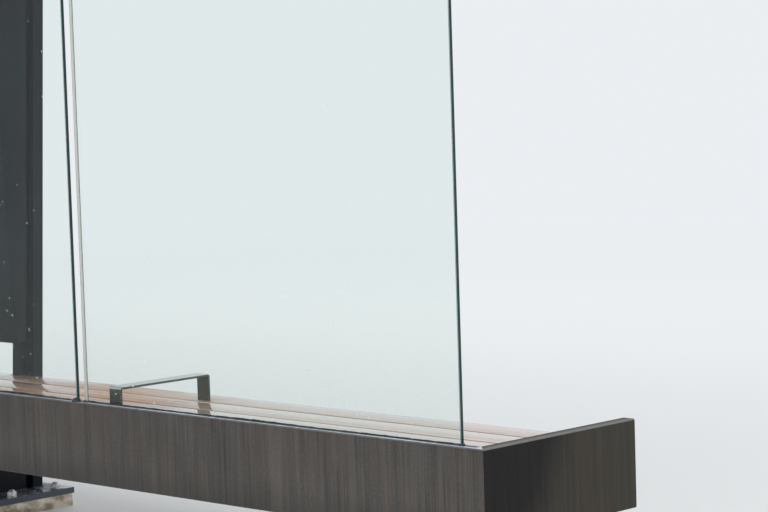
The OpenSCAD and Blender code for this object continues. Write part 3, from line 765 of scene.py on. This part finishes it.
def board(shell, run, full, narrow, notch, box, timber, seed):
    """
    Adds one board of the seat: its section carried along X, with a narrower section in the notch.

    The section shrinks over the eased length at each end, along a quarter circle. The whole board bows by a
    seeded wave and its upper face cups by the square of the distance from its middle.
    """
    start, end = run
    ease, step, hidden = timber.ease, 0.06, 0.0000001
    near = np.linspace(0, 1, 4)
    inner = np.arange(start + ease, end - ease, step)[1:]
    places = np.concatenate([start + ease * near, inner, end - ease * near[::-1]])
    inside = [edge for edge in notch if start < edge < end]
    places = np.sort(np.concatenate([places, *([edge - hidden, edge + hidden] for edge in inside)]))
    edge_gap = np.clip(np.minimum(places - start, end - places) / ease, 0, 1)
    inset = 1 - np.sqrt(1 - (1 - edge_gap) ** 2)
    middle, size = (box[0] + box[1]) / 2, box[1] - box[0]
    pairs = np.asarray(notch).reshape(-1, 2)
    cut = ((places[:, None] > pairs[:, 0]) & (places[:, None] < pairs[:, 1])).any(axis=1)
    section = np.where(cut[:, None, None], narrow, full)
    flat = middle + (section - middle) * (1 - 2 * ease * inset[:, None, None] / size)
    across = (flat[..., 0] - middle[0]) / size[0] * 2
    flat[..., 1] -= timber.cup * np.where(flat[..., 1] > middle[1], across ** 2, 0)
    flat[..., 1] -= timber.cup * 0.6 * (1 + waver(places, seed, 1.3, 3))[:, None]
    rings = np.concatenate([np.broadcast_to(places[:, None, None], (*flat.shape[:2], 1)), flat], axis=-1)
    shell.tubes(rings, tone=np.random.default_rng(seed).uniform(0, 1))


def weld(shell, path, out, up, leg, seed, closed=False):
    """
    Adds a fillet weld carried along a path, in the corner between a wall and the plate it stands on.

    Its section runs from the plate to the wall on a flattened quarter circle: the leg times the cosine and
    the sine of the angle, each to the power 1.3. The leg swells by the size of a sine of the distance walked,
    once for each ripple, and wavers. The root of the section is sunk a little into both.
    """
    sunk, ripple = 0.0012, 0.0052
    path = np.asarray(path, float)
    out, up = np.broadcast_to(out, path.shape), np.broadcast_to(up, path.shape)
    walked = np.concatenate([[0], np.cumsum(np.linalg.norm(np.diff(path, axis=0), axis=1))])
    size = leg * (0.80 + 0.14 * np.abs(np.sin(math.pi * walked / ripple)) + 0.12 * waver(walked, seed, 0.05))
    size, root = size[:, None], np.full((len(path), 1), -sunk)
    turn = np.linspace(0, math.pi / 2, 4)[1:]
    across = np.concatenate([root, size, size * np.cos(turn) ** 1.3], axis=1)
    across[:, -1] = -sunk
    rise = np.concatenate([root, root, size * np.sin(turn) ** 1.3], axis=1)
    rings = path[:, None] + out[:, None] * across[..., None] + up[:, None] * rise[..., None]
    shell.tubes(rings, ring_closed=closed)


def straight(start, end, step=0.0035):
    """Points along a straight line, a step apart."""
    start, end = np.asarray(start, float), np.asarray(end, float)
    count = max(2, int(np.linalg.norm(end - start) / step))
    return start + (end - start) * np.linspace(0, 1, count)[:, None]


# Operators


class ShelterStep:
    """What the operators share"""

    bl_options = {"REGISTER", "UNDO"}


class SHELTER_OT_stage(ShelterStep, bpy.types.Operator):
    """Makes the floor, the lights and the camera"""

    bl_idname = "shelter.stage"
    bl_label = "Stage"

    def execute(self, context):
        stage = context.scene.shelter_stage
        self.floor(stage)
        self.light(context.scene, stage)
        self.camera(context.scene, stage)
        return {"FINISHED"}

    def floor(self, stage):
        """A plain disc of points at one radius, which fades into the sky's colour away from the shelter."""
        radius, near, gone = 60.0, 3.5, 13.0
        turn = circle(96)
        rim = spread(radius * np.cos(turn), radius * np.sin(turn), 0.0)
        mesh = bpy.data.meshes.new("studio_floor")
        mesh.from_pydata(rim.tolist(), [], [list(range(len(rim)))])
        finish = Finish("studio_floor")
        away = finish.node("ShaderNodeVectorMath", {"operation": "LENGTH"}, {0: finish.place}, "Value")
        pale = finish.shader(stage.floor_colour, 0.6)
        far = finish.node("ShaderNodeEmission", None,
                          {"Color": (*stage.sky_colour, 1.0), "Strength": stage.sky_strength})
        mixed = finish.node("ShaderNodeMixShader", None, {0: away.rise(near, gone), 1: pale, 2: far})
        mesh.materials.append(finish.out(mixed))
        linked("studio_floor", mesh)

    def light(self, scene, stage):
        """A pale sky all round and two large soft lamps over the roof, one on each side."""
        world = bpy.data.worlds.new("soft_sky")
        world.use_nodes = True
        sky = world.node_tree.nodes["Background"]
        sky.inputs["Color"].default_value = (*stage.sky_colour, 1.0)
        sky.inputs["Strength"].default_value = stage.sky_strength
        scene.world = world
        scene.view_settings.view_transform = "Standard"
        middle = Vector((0.0, 0.3, 0.8))
        for name, place, size, power in (("overhead_lamp", (-4.5, 5.5, 6.5), 5.0, stage.lamp_power),
                                         ("street_lamp", (2.0, -7.0, 7.0), 7.0, stage.lamp_power * 0.6)):
            lamp = bpy.data.lights.new(name, "AREA")
            lamp.energy = power
            lamp.size = size
            aim = (middle - Vector(place)).to_track_quat("-Z", "Y")
            linked(name, lamp).matrix_world = Matrix.Translation(place) @ aim.to_matrix().to_4x4()

    def camera(self, scene, stage):
        """The photographer's eye: yaw, pitch and roll turn the view from straight along -Y."""
        yaw, pitch, roll = stage.camera_yaw, stage.camera_pitch, stage.camera_roll
        flat = math.cos(pitch)
        forward = Vector((math.sin(yaw) * flat, -math.cos(yaw) * flat, -math.sin(pitch)))
        level = Vector((-math.cos(yaw), -math.sin(yaw), 0.0))
        down = forward.cross(level)
        right = math.cos(roll) * level + math.sin(roll) * down
        up = math.sin(roll) * level - math.cos(roll) * down
        turn = Matrix((right, up, -forward)).transposed()
        eye = bpy.data.cameras.new("photo_camera")
        eye.lens = stage.camera_lens
        eye.sensor_width = 36.0
        eye.clip_end = 500.0
        scene.camera = linked("photo_camera", eye)
        scene.camera.matrix_world = Matrix.Translation(stage.camera_place) @ turn.to_4x4()


class SHELTER_OT_steelwork(ShelterStep, bpy.types.Operator):
    """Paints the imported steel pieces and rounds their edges"""

    bl_idname = "shelter.steelwork"
    bl_label = "Steelwork"

    def execute(self, context):
        steel = context.scene.shelter_steel
        painted = {
            "beam_steel": streaked_paint("beam_paint", steel.beam_colour, steel.beam_top_reflection, 0.45, 0.45,
                                         wet=0.75, streak=1.3, box=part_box("bench_beam")),
            "panel_steel": streaked_paint("panel_paint", steel.panel_colour, steel.panel_top_highlight, 0.52, 0.18,
                                          wet=-0.6, streak=0.85, shaded=steel.panel_shade),
            "column_paint": streaked_paint("column_paint_satin", steel.column_colour, steel.column_top_highlight,
                                           0.45, 0.12, streak=0.6),
            "frame_steel": streaked_paint("frame_paint", steel.frame_colour, steel.frame_top_highlight, 0.55, 0.4,
                                          streak=0.5),
            "plate_paint": worn_plate(steel.plate_colour),
            "armrest_steel": armrest_metal(steel.armrest_colour, steel.armrest_top_reflection),
            "roof_sheet": coated_sheet(steel.roof_colour),
            "black_rubber": black_rubber(context.scene.shelter_rubber),
        }
        for part in frame["record"]["subparts"]:
            if part["material_slot"] in painted:
                node = frame["nodes"][part["node"]]
                node.material_slots[0].material = painted[part["material_slot"]]
                bar = part["material_slot"] == "armrest_steel"
                self.round_edges(node, steel.arris * (1.8 if bar else 1.0))
        return {"FINISHED"}

    def round_edges(self, node, arris):
        """Joins the loose triangles into whole faces, rounds the arrises and evens the shading."""
        joined = node.modifiers.new("joined", "WELD")
        joined.merge_threshold = 0.00002
        whole = node.modifiers.new("whole_faces", "DECIMATE")
        whole.decimate_type = "DISSOLVE"
        whole.angle_limit = math.radians(0.5)
        rounding = node.modifiers.new("arris", "BEVEL")
        rounding.width = arris
        rounding.segments = 2
        rounding.limit_method = "ANGLE"
        rounding.angle_limit = math.radians(40)
        even = node.modifiers.new("even_shading", "WEIGHTED_NORMAL")
        even.weight = 90


class SHELTER_OT_glass(ShelterStep, bpy.types.Operator):
    """Makes the panes of the screen and the rain on their outside"""

    bl_idname = "shelter.glass"
    bl_label = "Glass"

    def execute(self, context):
        glass = context.scene.shelter_glass
        y = span(PANES[0], 1)
        middle, half = sum(y) / 2, (y[1] - y[0]) / 2
        materials = [clear_glass(glass), glass_edge(glass, middle, half), ground_edge_and_reflection(glass, middle, half)]
        rain = Shell()
        for count, name in enumerate(PANES):
            low, high = limits(name)
            shell = Shell()
            shell.tubes(block(low, high, glass.arris, 1), finish=1, cap_finish=0)
            # Thin pale sheets just inside each end of a pane: the ground edge with a painted internal
            # reflection, seen through the glass.
            inset, ends, thin = 0.0002, 0.002, 0.0003
            for start in (low[0] + inset, high[0] - (inset + thin)):
                shell.tubes(block((start, low[1] + inset, low[2] + ends),
                                  (start + thin, high[1] - inset, high[2] - ends), thin / 3, 1), finish=2)
            shell.build(name.replace("glass_pane", "pane"), materials, "clear_glass", (name,), sharp=20)
            self.drops(rain, low, high, glass.drops, count)
        rain.build("rain_drops", [rain_drop()], "clear_glass")
        return {"FINISHED"}

    def drops(self, shell, low, high, count, seed):
        """
        Flat drops scattered on a pane's outer face, more of them near its foot.

        A drop is a stack of rings: its radius times the cosine of the angle from the glass, and its height
        times the sine. A larger drop hangs: its lower half is drawn out downwards.
        """
        side, over_ledge, under_head = 0.01, 0.012, 0.06
        smallest, extra, flatness, sunk = 0.0007, 0.0019, 0.35, 0.0001
        draw = np.random.default_rng(200 + seed)
        x = draw.uniform(low[0] + side, high[0] - side, count)
        foot = span("bench_beam", 2)[1] + over_ledge
        z = foot + (high[2] - under_head - foot) * draw.uniform(0, 1, count) ** 1.7
        radius = smallest + extra * draw.uniform(0, 1, count) ** 3
        x, z, radius = (value[:, None, None] for value in (x, z, radius))
        turn = circle(8)
        rise = np.radians([0.0, 25.0, 50.0, 75.0])[:, None]
        size = radius * np.cos(rise)
        droop = np.where(np.sin(turn) < 0, 1 + 300 * radius, 1)
        y = high[1] - sunk + radius * flatness * np.sin(rise)
        shell.tubes(spread(x + size * np.cos(turn), y, z + size * np.sin(turn) * droop))


class SHELTER_OT_sealant(ShelterStep, bpy.types.Operator):
    """Makes the rubber that fills the slot in the beam and the uneven bead round each pane"""

    bl_idname = "shelter.sealant"
    bl_label = "Sealant"
    depth, clear = 0.05, 0.002

    def execute(self, context):
        rubber = context.scene.shelter_rubber
        shell = Shell()
        low, high = limits("sill_gasket")
        slot = (low[1] + self.clear, high[1] - self.clear)
        sill = span("bench_beam", 2)[1]
        swells = np.random.default_rng(7).uniform(0.3, 1.8, (len(PANES), 2))
        swells[1, 0] = rubber.smear
        for count, name in enumerate(PANES):
            self.bead(shell, rubber, span(name, 0), span(name, 1), sill, swells[count], count)
        edges = np.concatenate([[low[0]], np.ravel([span(name, 0) for name in PANES]), [high[0]]])
        for count, (start, end) in enumerate(edges.reshape(-1, 2)):
            self.infill(shell, (start, end), slot, sill, count)
            if 0 < count < len(PANES):
                self.spill(shell, (start + end) / 2, (end - start) / 2, slot[1], sill, rubber.spill, count)
        shell.build("sill_sealant", [coat("head_gasket")], "black_rubber", ("sill_gasket",))
        return {"FINISHED"}

    def bead(self, shell, rubber, x, y, sill, swells, seed):
        """
        Round the foot of a pane: a section carried along the loop round it and closed on itself.

        The section goes down beside the glass, out over the metal, and back up the glass on a bulged quarter
        ellipse whose width and height waver along the loop. The bead swells near the pane's outer corners.
        """
        radius, inside, under, reach = 0.0008, -0.0006, -0.0012, 0.0021
        corner, long_wave, width_wave, height_wave = 0.011, 0.8, 0.09, 0.07
        outline = rounded_box_section((x[0] - radius, y[0] - radius), (x[1] + radius, y[1] + radius),
                                      (radius,) * 4, 5)
        points, outward, places = evenly(outline, 0.004)
        uneven = rubber.unevenness
        drift = 1 + 0.35 * waver(places, 20 + seed, long_wave, 2)
        width = rubber.bead_width * (1 + uneven * waver(places, 40 + seed, width_wave)) * drift
        height = rubber.bead_height * (1 + uneven * waver(places, 60 + seed, height_wave)) * drift
        for end, swell in zip(x, swells):
            away = np.linalg.norm(points - np.array((end, y[1])), axis=1)
            bump = np.exp(-(away / corner) ** 2)
            width = width * (1 + swell * bump)
            height = height * (1 + 0.55 * swell * bump)
        turn = np.linspace(0, math.pi / 2, 6)
        across = np.broadcast_to((inside, reach, reach), (len(places), 3))
        down = np.broadcast_to((-self.depth, -self.depth, under), (len(places), 3))
        out = np.concatenate([across, width[:, None] * np.cos(turn) ** 0.8 + inside], axis=1)
        up = np.concatenate([down, height[:, None] * np.sin(turn) ** 0.8 + under], axis=1)
        flat = points[:, None] + outward[:, None] * out[..., None]
        shell.tubes(np.concatenate([flat, sill + up[..., None]], axis=-1), ring_closed=True)

    def infill(self, shell, run, slot, sill, seed):
        """Between two panes: a filled groove whose top sags in the middle and wavers along its length."""
        step, sunk, sag, uneven = 0.006, 0.0004, 0.0012, 0.0004
        places = np.linspace(*run, max(4, int((run[1] - run[0]) / step)))
        across = np.linspace(-1, 1, 7)
        middle, half = sum(slot) / 2, (slot[1] - slot[0]) / 2
        top = sill - sunk - sag * (1 - across ** 2) + uneven * waver(places, 80 + seed, 0.05)[:, None]
        y = np.concatenate([middle + half * across, [middle + half, middle - half]])
        z = np.concatenate([top, np.full((len(places), 2), sill - self.depth)], axis=1)
        shell.tubes(spread(places[:, None], y, z))

    def spill(self, shell, x, half, edge, sill, reach, seed):
        """
        Rubber that has spread from a joint over the ledge: a low cap with an uneven outline.

        Its outline is an ellipse whose radius wavers with the angle, and each ring of it shrinks by the
        cosine and rises by the sine of the same angle.
        """
        sunk, height = 0.0006, 0.0020
        size = 1.0 if seed == 1 else np.random.default_rng(500 + seed).uniform(0.3, 0.7)
        turn = circle(40)
        rise = np.linspace(0, math.radians(80), 6)[:, None]
        uneven = 1 + 0.16 * waver(np.cos(turn), 510 + seed, 1.4, 3)
        uneven = uneven + 0.10 * waver(np.sin(turn), 520 + seed, 1.1, 3)
        px = x + half * 0.72 * size * uneven * np.cos(rise) * np.cos(turn)
        py = edge + reach * size * uneven * np.cos(rise) * np.sin(turn)
        shell.tubes(spread(px, py, sill - sunk + height * np.sin(rise)))


class SHELTER_OT_boards(ShelterStep, bpy.types.Operator):
    """Makes the boards of the seat and the bolts that hold them from below"""

    bl_idname = "shelter.boards"
    bl_label = "Boards"

    def execute(self, context):
        timber = context.scene.shelter_timber
        bay = span(ARMRESTS[1], 0)[0] - span(ARMRESTS[0], 0)[0]
        wood = oiled_wood(timber, bay)
        ends = np.unique(corners("seat_slat_4")[:, 0])
        notch = np.setdiff1d(np.unique(corners("seat_slat_front")[:, 0]), ends)
        notch_y = corners("seat_slat_front", 0, notch[0])[:, 1].max()
        for row, name in enumerate(SLATS):
            low, high = (corner[1:] for corner in limits(name))
            radii = [timber.ease] * 4
            narrow, cuts = None, []
            if name.endswith("front"):
                radii[3] = timber.nose
                narrow = rounded_box_section((notch_y, low[1]), high, [timber.ease] * 4, 5)
                cuts = notch
            full = rounded_box_section(low, high, radii, 5)
            shell = Shell()
            for count, run in enumerate(ends.reshape(-1, 2)):
                board(shell, run, full, full if narrow is None else narrow, cuts, (low, high), timber,
                      10 * row + count)
            shell.build(name.replace("seat_slat", "seat_boards"), [wood], "hardwood", (name,),
                        attribute="board")
        self.bolts()
        return {"FINISHED"}

    def bolts(self):
        """A hexagonal head under each flat bar for each board: a ring on the bar, cut back at its end."""
        under = span("seat_straps", 2)[0]
        bars = np.unique(corners("seat_straps")[:, 0]).reshape(-1, 2).mean(axis=1)
        rail = span("seat_front_rail", 1)
        middles = [sum(span(name, 1)) / 2 for name in SLATS]
        rows = [y for y in middles if not rail[0] - 0.01 < y < rail[1] + 0.01]
        places = [(x, y, under) for x in bars for y in rows]
        fixings("seat_bolts", places, (0.0085, 0.0085, 0.0085, 0.0055), (-0.0004, 0.0, 0.0042, 0.0052),
                steps=12, flats=6, down=True, sharp=25)


class SHELTER_OT_columns(ShelterStep, bpy.types.Operator):
    """Makes the pedestals of the columns and the tapered boxes over the seat"""

    bl_idname = "shelter.columns"
    bl_label = "Columns"

    def execute(self, context):
        columns = context.scene.shelter_columns
        paint = coat("column_leaf_left")
        seat = span("seat_slat_front", 2)[1]
        for side in SIDES:
            name = "column_body_" + side
            foot, _, pedestal_top, box_foot, _, head = np.unique(corners(name)[:, 2])
            shell = Shell()
            self.box(shell, name, foot, pedestal_top, foot, columns.arris)
            self.box(shell, name, box_foot, head, seat + columns.box_rise, columns.arris)
            shell.build("column_boxes_" + side, [paint], "column_paint", (name,), sharp=15)
        return {"FINISHED"}

    def box(self, shell, name, foot, head, start, arris):
        """
        A rectangle with rounded corners carried up a straight line from the corners at the foot to those at
        the head, beginning at the start. Both ends shrink by the arris.
        """
        ends = [corners(name, 2, level)[:, :2] for level in (foot, head)]
        heights = np.array([start, start + arris, head - arris, head])
        along = ((heights - foot) / (head - foot))[:, None]
        inset = np.array([arris, 0.0, 0.0, arris])[:, None]
        low = ends[0].min(axis=0) * (1 - along) + ends[1].min(axis=0) * along + inset
        high = ends[0].max(axis=0) * (1 - along) + ends[1].max(axis=0) * along - inset
        sections = np.stack([rounded_box_section(*pair, (arris,) * 4, 5) for pair in zip(low, high)])
        shell.tubes(spread(sections[..., 0], sections[..., 1], heights[:, None]))


class SHELTER_OT_feet(ShelterStep, bpy.types.Operator):
    """Makes the grout under the base plates, the anchor studs with their nuts and the welds of the columns"""

    bl_idname = "shelter.feet"
    bl_label = "Feet"

    def execute(self, context):
        feet = context.scene.shelter_feet
        grout, zinc = rough_grout(), bright_zinc()
        for count, side in enumerate(SIDES):
            self.grout(feet, side, grout, count)
            self.studs(feet, side, zinc)
            self.welds(feet, side, count)
        return {"FINISHED"}

    def grout(self, feet, side, grout, seed):
        """
        The pad: its rounded outline carried up, drawn in by the wear.

        The wear is a seeded wave round the pad plus a finer one whose phase drifts with the height. It is
        greatest halfway up and a third as deep at the top and the bottom.
        """
        low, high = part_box("grout_pad_" + side)
        corner_radii, step = (0.012, 0.009, 0.014, 0.010), 0.005
        outline = rounded_box_section(low[:2], high[:2], corner_radii, 5)
        points, outward, places = evenly(outline, step)
        level = np.linspace(0, 1, 12)
        drift = places[None] + 0.05 * level[:, None]
        wave = 0.5 + 0.30 * waver(drift, 300 + seed, 0.16)
        wave = wave + 0.20 * waver(drift + level[:, None] ** 2, 310 + seed, 0.03)
        belly = 0.35 + 0.65 * np.sin(math.pi * level) ** 0.6
        inset = feet.grout_wear * np.clip(wave, 0, 1) * belly[:, None]
        flat = points - outward * inset[..., None]
        shell = Shell()
        shell.tubes(spread(flat[..., 0], flat[..., 1], low[2] + (high[2] - low[2]) * level[:, None]))
        shell.build("grout_" + side, [grout], "grout", ("grout_pad_" + side,), sharp=50)

    def studs(self, feet, side, zinc):
        """
        Studs, nuts and washers, each turned about its own axis.

        The thread is the stud's radius less its depth times a sawtooth of the height over the pitch minus the
        turn round the axis. The last two rings form the stud's tip, drawn in and plain.
        """
        edge, bevel, thread, gap = 0.0004, 0.0010, 0.0009, 0.0006
        thread_start, thread_end, thread_step = 0.003, 0.0012, 0.0005
        tip = np.array([[0.0006], [0.0016]])
        low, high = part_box("base_plate_" + side)
        x = np.array([low[0] + feet.stud_side, high[0] - feet.stud_side])
        y = np.linspace(low[1] + feet.stud_end, high[1] - feet.stud_end, 3)
        places = np.stack(np.meshgrid(x, y, [high[2]]), axis=-1).reshape(-1, 3)
        shell = Shell()
        rim, bore, thick = feet.washer_radius, feet.stud_radius + gap, feet.washer_height
        shell.tubes(turned(places, (bore, bore, rim - edge, rim, rim, rim - edge),
                           (0.0, thick, thick, thick - edge, edge, 0.0), 32), ring_closed=True)
        wide = feet.nut_width / 2 / math.cos(math.pi / 6)
        flat, cut = feet.nut_width / 2 * 0.97, 0.0013
        shoulder = flat + 0.0012
        foot, head = thick, thick + feet.nut_height
        radius = (bore, bore + bevel, flat, shoulder, wide, wide, shoulder, flat, bore)
        height = (head - bevel, head, head, head - cut * 0.5, head - cut, foot + cut, foot + cut * 0.5, foot,
                  foot)
        shell.tubes(turned(places, radius, height, 36, 6), ring_closed=True)
        reach = head + feet.stud_over
        down = high[2] - span("grout_pad_" + side, 2)[1]
        threaded = np.arange(head - thread_start, reach - thread_end, thread_step)
        height = np.concatenate([[-down], threaded, [reach - tip[0, 0], reach]])[:, None]
        turn = np.linspace(0, 1, 24, endpoint=False)
        saw = (height / feet.pitch - turn) % 1.0
        radius = feet.stud_radius - thread * np.abs(saw * 2 - 1)
        radius[-2:] = feet.stud_radius - tip
        turn = turn * 2 * math.pi
        shell.tubes(places[:, None, None] + spread(radius * np.cos(turn), radius * np.sin(turn), height))
        shell.build("anchor_studs_" + side, [zinc], "zinc_steel", ("anchor_bolts_" + side,), sharp=28)

    def welds(self, feet, side, seed):
        """Fillets round the foot of the column, round the bench arm's two ends and under the roof arm."""
        floor = span("base_plate_" + side, 2)[1]
        same, step, arm_step = 0.0002, 0.0026, 0.005
        body = corners("column_body_" + side, 2, floor)
        leaf = corners("column_leaf_" + side, 2, floor)
        (x0, x1), back = span("column_body_" + side, 0), body[:, 1].max()
        front, neck_back = leaf[:, 1].min(), leaf[:, 1].max()
        leaf_back = leaf[np.abs(leaf[:, 0] - x0) < same][:, 1].max()
        neck = leaf[np.abs(leaf[:, 1] - neck_back) < same][:, 0]
        n0, n1 = neck.min(), neck.max()
        outline = np.array([(x0, front), (x1, front), (x1, leaf_back), (n1, leaf_back), (n1, neck_back),
                            (x1, neck_back), (x1, back), (x0, back), (x0, neck_back), (n0, neck_back),
                            (n0, leaf_back), (x0, leaf_back)])
        points, outward, _ = evenly(outline, step)
        shell, small = Shell(), feet.weld * 0.8
        path, out = spread(*points.T, floor), spread(*outward.T, 0.0)
        weld(shell, path, out, (0, 0, 1), feet.weld, seed, True)
        arm_low, arm_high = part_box("bench_arm_" + side)
        a0, a1 = arm_low[0], arm_high[0]
        root = corners("bench_arm_" + side, 1, arm_low[1])[:, 2]
        tip = corners("bench_arm_" + side, 1, arm_high[1])[:, 2]
        for y, way, levels in ((arm_low[1], 1, root), (arm_high[1], -1, tip)):
            foot, head = levels.min(), levels.max()
            seams = (((a0, y, foot), (a0, y, head), (-1, 0, 0)), ((a1, y, foot), (a1, y, head), (1, 0, 0)),
                     ((a0, y, foot), (a1, y, foot), (0, 0, -1)))
            for count, (start, end, up) in enumerate(seams, 1):
                weld(shell, straight(start, end), (0, way, 0), up, small, seed + 2 * count)
        arm = corners("roof_arm_" + side)
        web, under = np.unique(arm[:, 0])[1:3], np.unique(arm[:, 2])[-2]
        for x, way in zip(web, (-1, 1)):
            path = straight((x, arm[:, 1].min(), under), (x, arm[:, 1].max(), under), arm_step)
            weld(shell, path, (way, 0, 0), (0, 0, -1), small, seed + 8)
        top = span("column_body_" + side, 2)[1]
        head = np.vstack([corners("column_body_" + side, 2, top), corners("column_leaf_" + side, 2, top)])
        y0, y1 = head[:, 1].min(), head[:, 1].max()
        for x, way in ((x0, -1), (x1, 1)):
            weld(shell, straight((x, y0, top), (x, y1, top)), (0, 0, -1), (way, 0, 0), feet.weld, seed + 10)
        shell.build("welds_" + side, [coat("column_body_" + side)], "column_paint", sharp=60)


class SHELTER_OT_roof(ShelterStep, bpy.types.Operator):
    """Makes the ceiling panels, the strips over the joints of the roof and their screws"""

    bl_idname = "shelter.roof"
    bl_label = "Roof"

    def execute(self, context):
        roof = context.scene.shelter_roof
        sheet = coat("roof_deck")
        self.ceiling(roof, sheet)
        self.strips(roof, sheet)
        return {"FINISHED"}

    def ceiling(self, roof, sheet):
        """Flat panels side by side with open joints, and low screw heads along their sides."""
        arris, side, front, back = 0.0008, 0.055, 0.09, 0.14
        low, high = limits("roof_soffit")
        edges = np.linspace(low[0], high[0], roof.panels + 1)
        shell, places = Shell(), []
        for start, end in zip(edges[:-1], edges[1:]):
            inner = roof.joint / 2 * np.array([start > low[0], end < high[0]])
            first, last = start + inner[0], end - inner[1]
            shell.tubes(block((first, low[1], low[2]), (last, high[1], high[2]), arris, 2))
            for x in (first + side, last - side):
                places += [(x, y, low[2]) for y in np.linspace(low[1] + front, high[1] - back, roof.screws)]
        shell.build("ceiling_panels", [sheet], "roof_sheet", ("roof_soffit",))
        fixings("ceiling_screws", places, (0.0070, 0.0070, 0.0058, 0.0030), (-0.0004, 0.0004, 0.0018, 0.0026),
                steps=10, flats=0, down=True, sharp=60)

    def strips(self, roof, sheet):
        """Flat strips with rounded sides across the roof, carried from back to front, and their screws."""
        thick, sunk, screws, screw_end = 0.006, 0.0002, 9, 0.08
        low, high = limits("roof_deck")
        middles = np.linspace(low[0], high[0], roof.panels + 1)[1:-1]
        half = roof.cover / 2
        y = np.array([low[1] + 0.002, low[1] + 0.004, high[1] - 0.004, high[1] - 0.002])
        shrink = np.array([0.6, 1.0, 1.0, 0.6])[:, None]
        section = rounded_box_section((-half, high[2] - sunk), (half, high[2] + thick),
                                      (0.0005, 0.0005, 0.004, 0.004), 4)
        shell = Shell()
        across = section[:, 0] * (1 - (1 - shrink) * 0.02)
        up = high[2] + (section[:, 1] - high[2]) * shrink
        shell.tubes(spread(across + middles[:, None, None], y[:, None], up))
        shell.build("roof_strips", [sheet], "roof_sheet")
        rows = np.linspace(low[1] + screw_end, high[1] - screw_end, screws)
        lines = [x + way * half * 0.6 for x in middles for way in (-1, 1)]
        places = [(x, y, high[2] + thick) for x in lines for y in rows]
        fixings("roof_screws", places, (0.0060, 0.0060, 0.0050, 0.0035), (-0.0004, 0.0002, 0.0030, 0.0036),
                steps=12, flats=6, down=False, sharp=30)


class SHELTER_PT_build(bpy.types.Panel):
    """Lists the steps that finish the shelter"""

    bl_label = "Bus Shelter"
    bl_space_type = "VIEW_3D"
    bl_region_type = "UI"
    bl_category = "Shelter"

    def draw(self, context):
        for step in STEPS:
            self.layout.operator(step.bl_idname)


STEPS = (SHELTER_OT_stage, SHELTER_OT_steelwork, SHELTER_OT_glass, SHELTER_OT_sealant, SHELTER_OT_boards,
         SHELTER_OT_columns, SHELTER_OT_feet, SHELTER_OT_roof)


def register():
    for group in (*SETTINGS.values(), *STEPS, SHELTER_PT_build):
        bpy.utils.register_class(group)
    for name, group in SETTINGS.items():
        setattr(bpy.types.Scene, name, PointerProperty(type=group))


def unregister():
    for name in SETTINGS:
        delattr(bpy.types.Scene, name)
    for group in (SHELTER_PT_build, *reversed(STEPS), *SETTINGS.values()):
        bpy.utils.unregister_class(group)


def main():
    register()
    for step in STEPS:
        family, name = step.bl_idname.split(".")
        getattr(getattr(bpy.ops, family), name)()


if __name__ == "__main__":
    main()
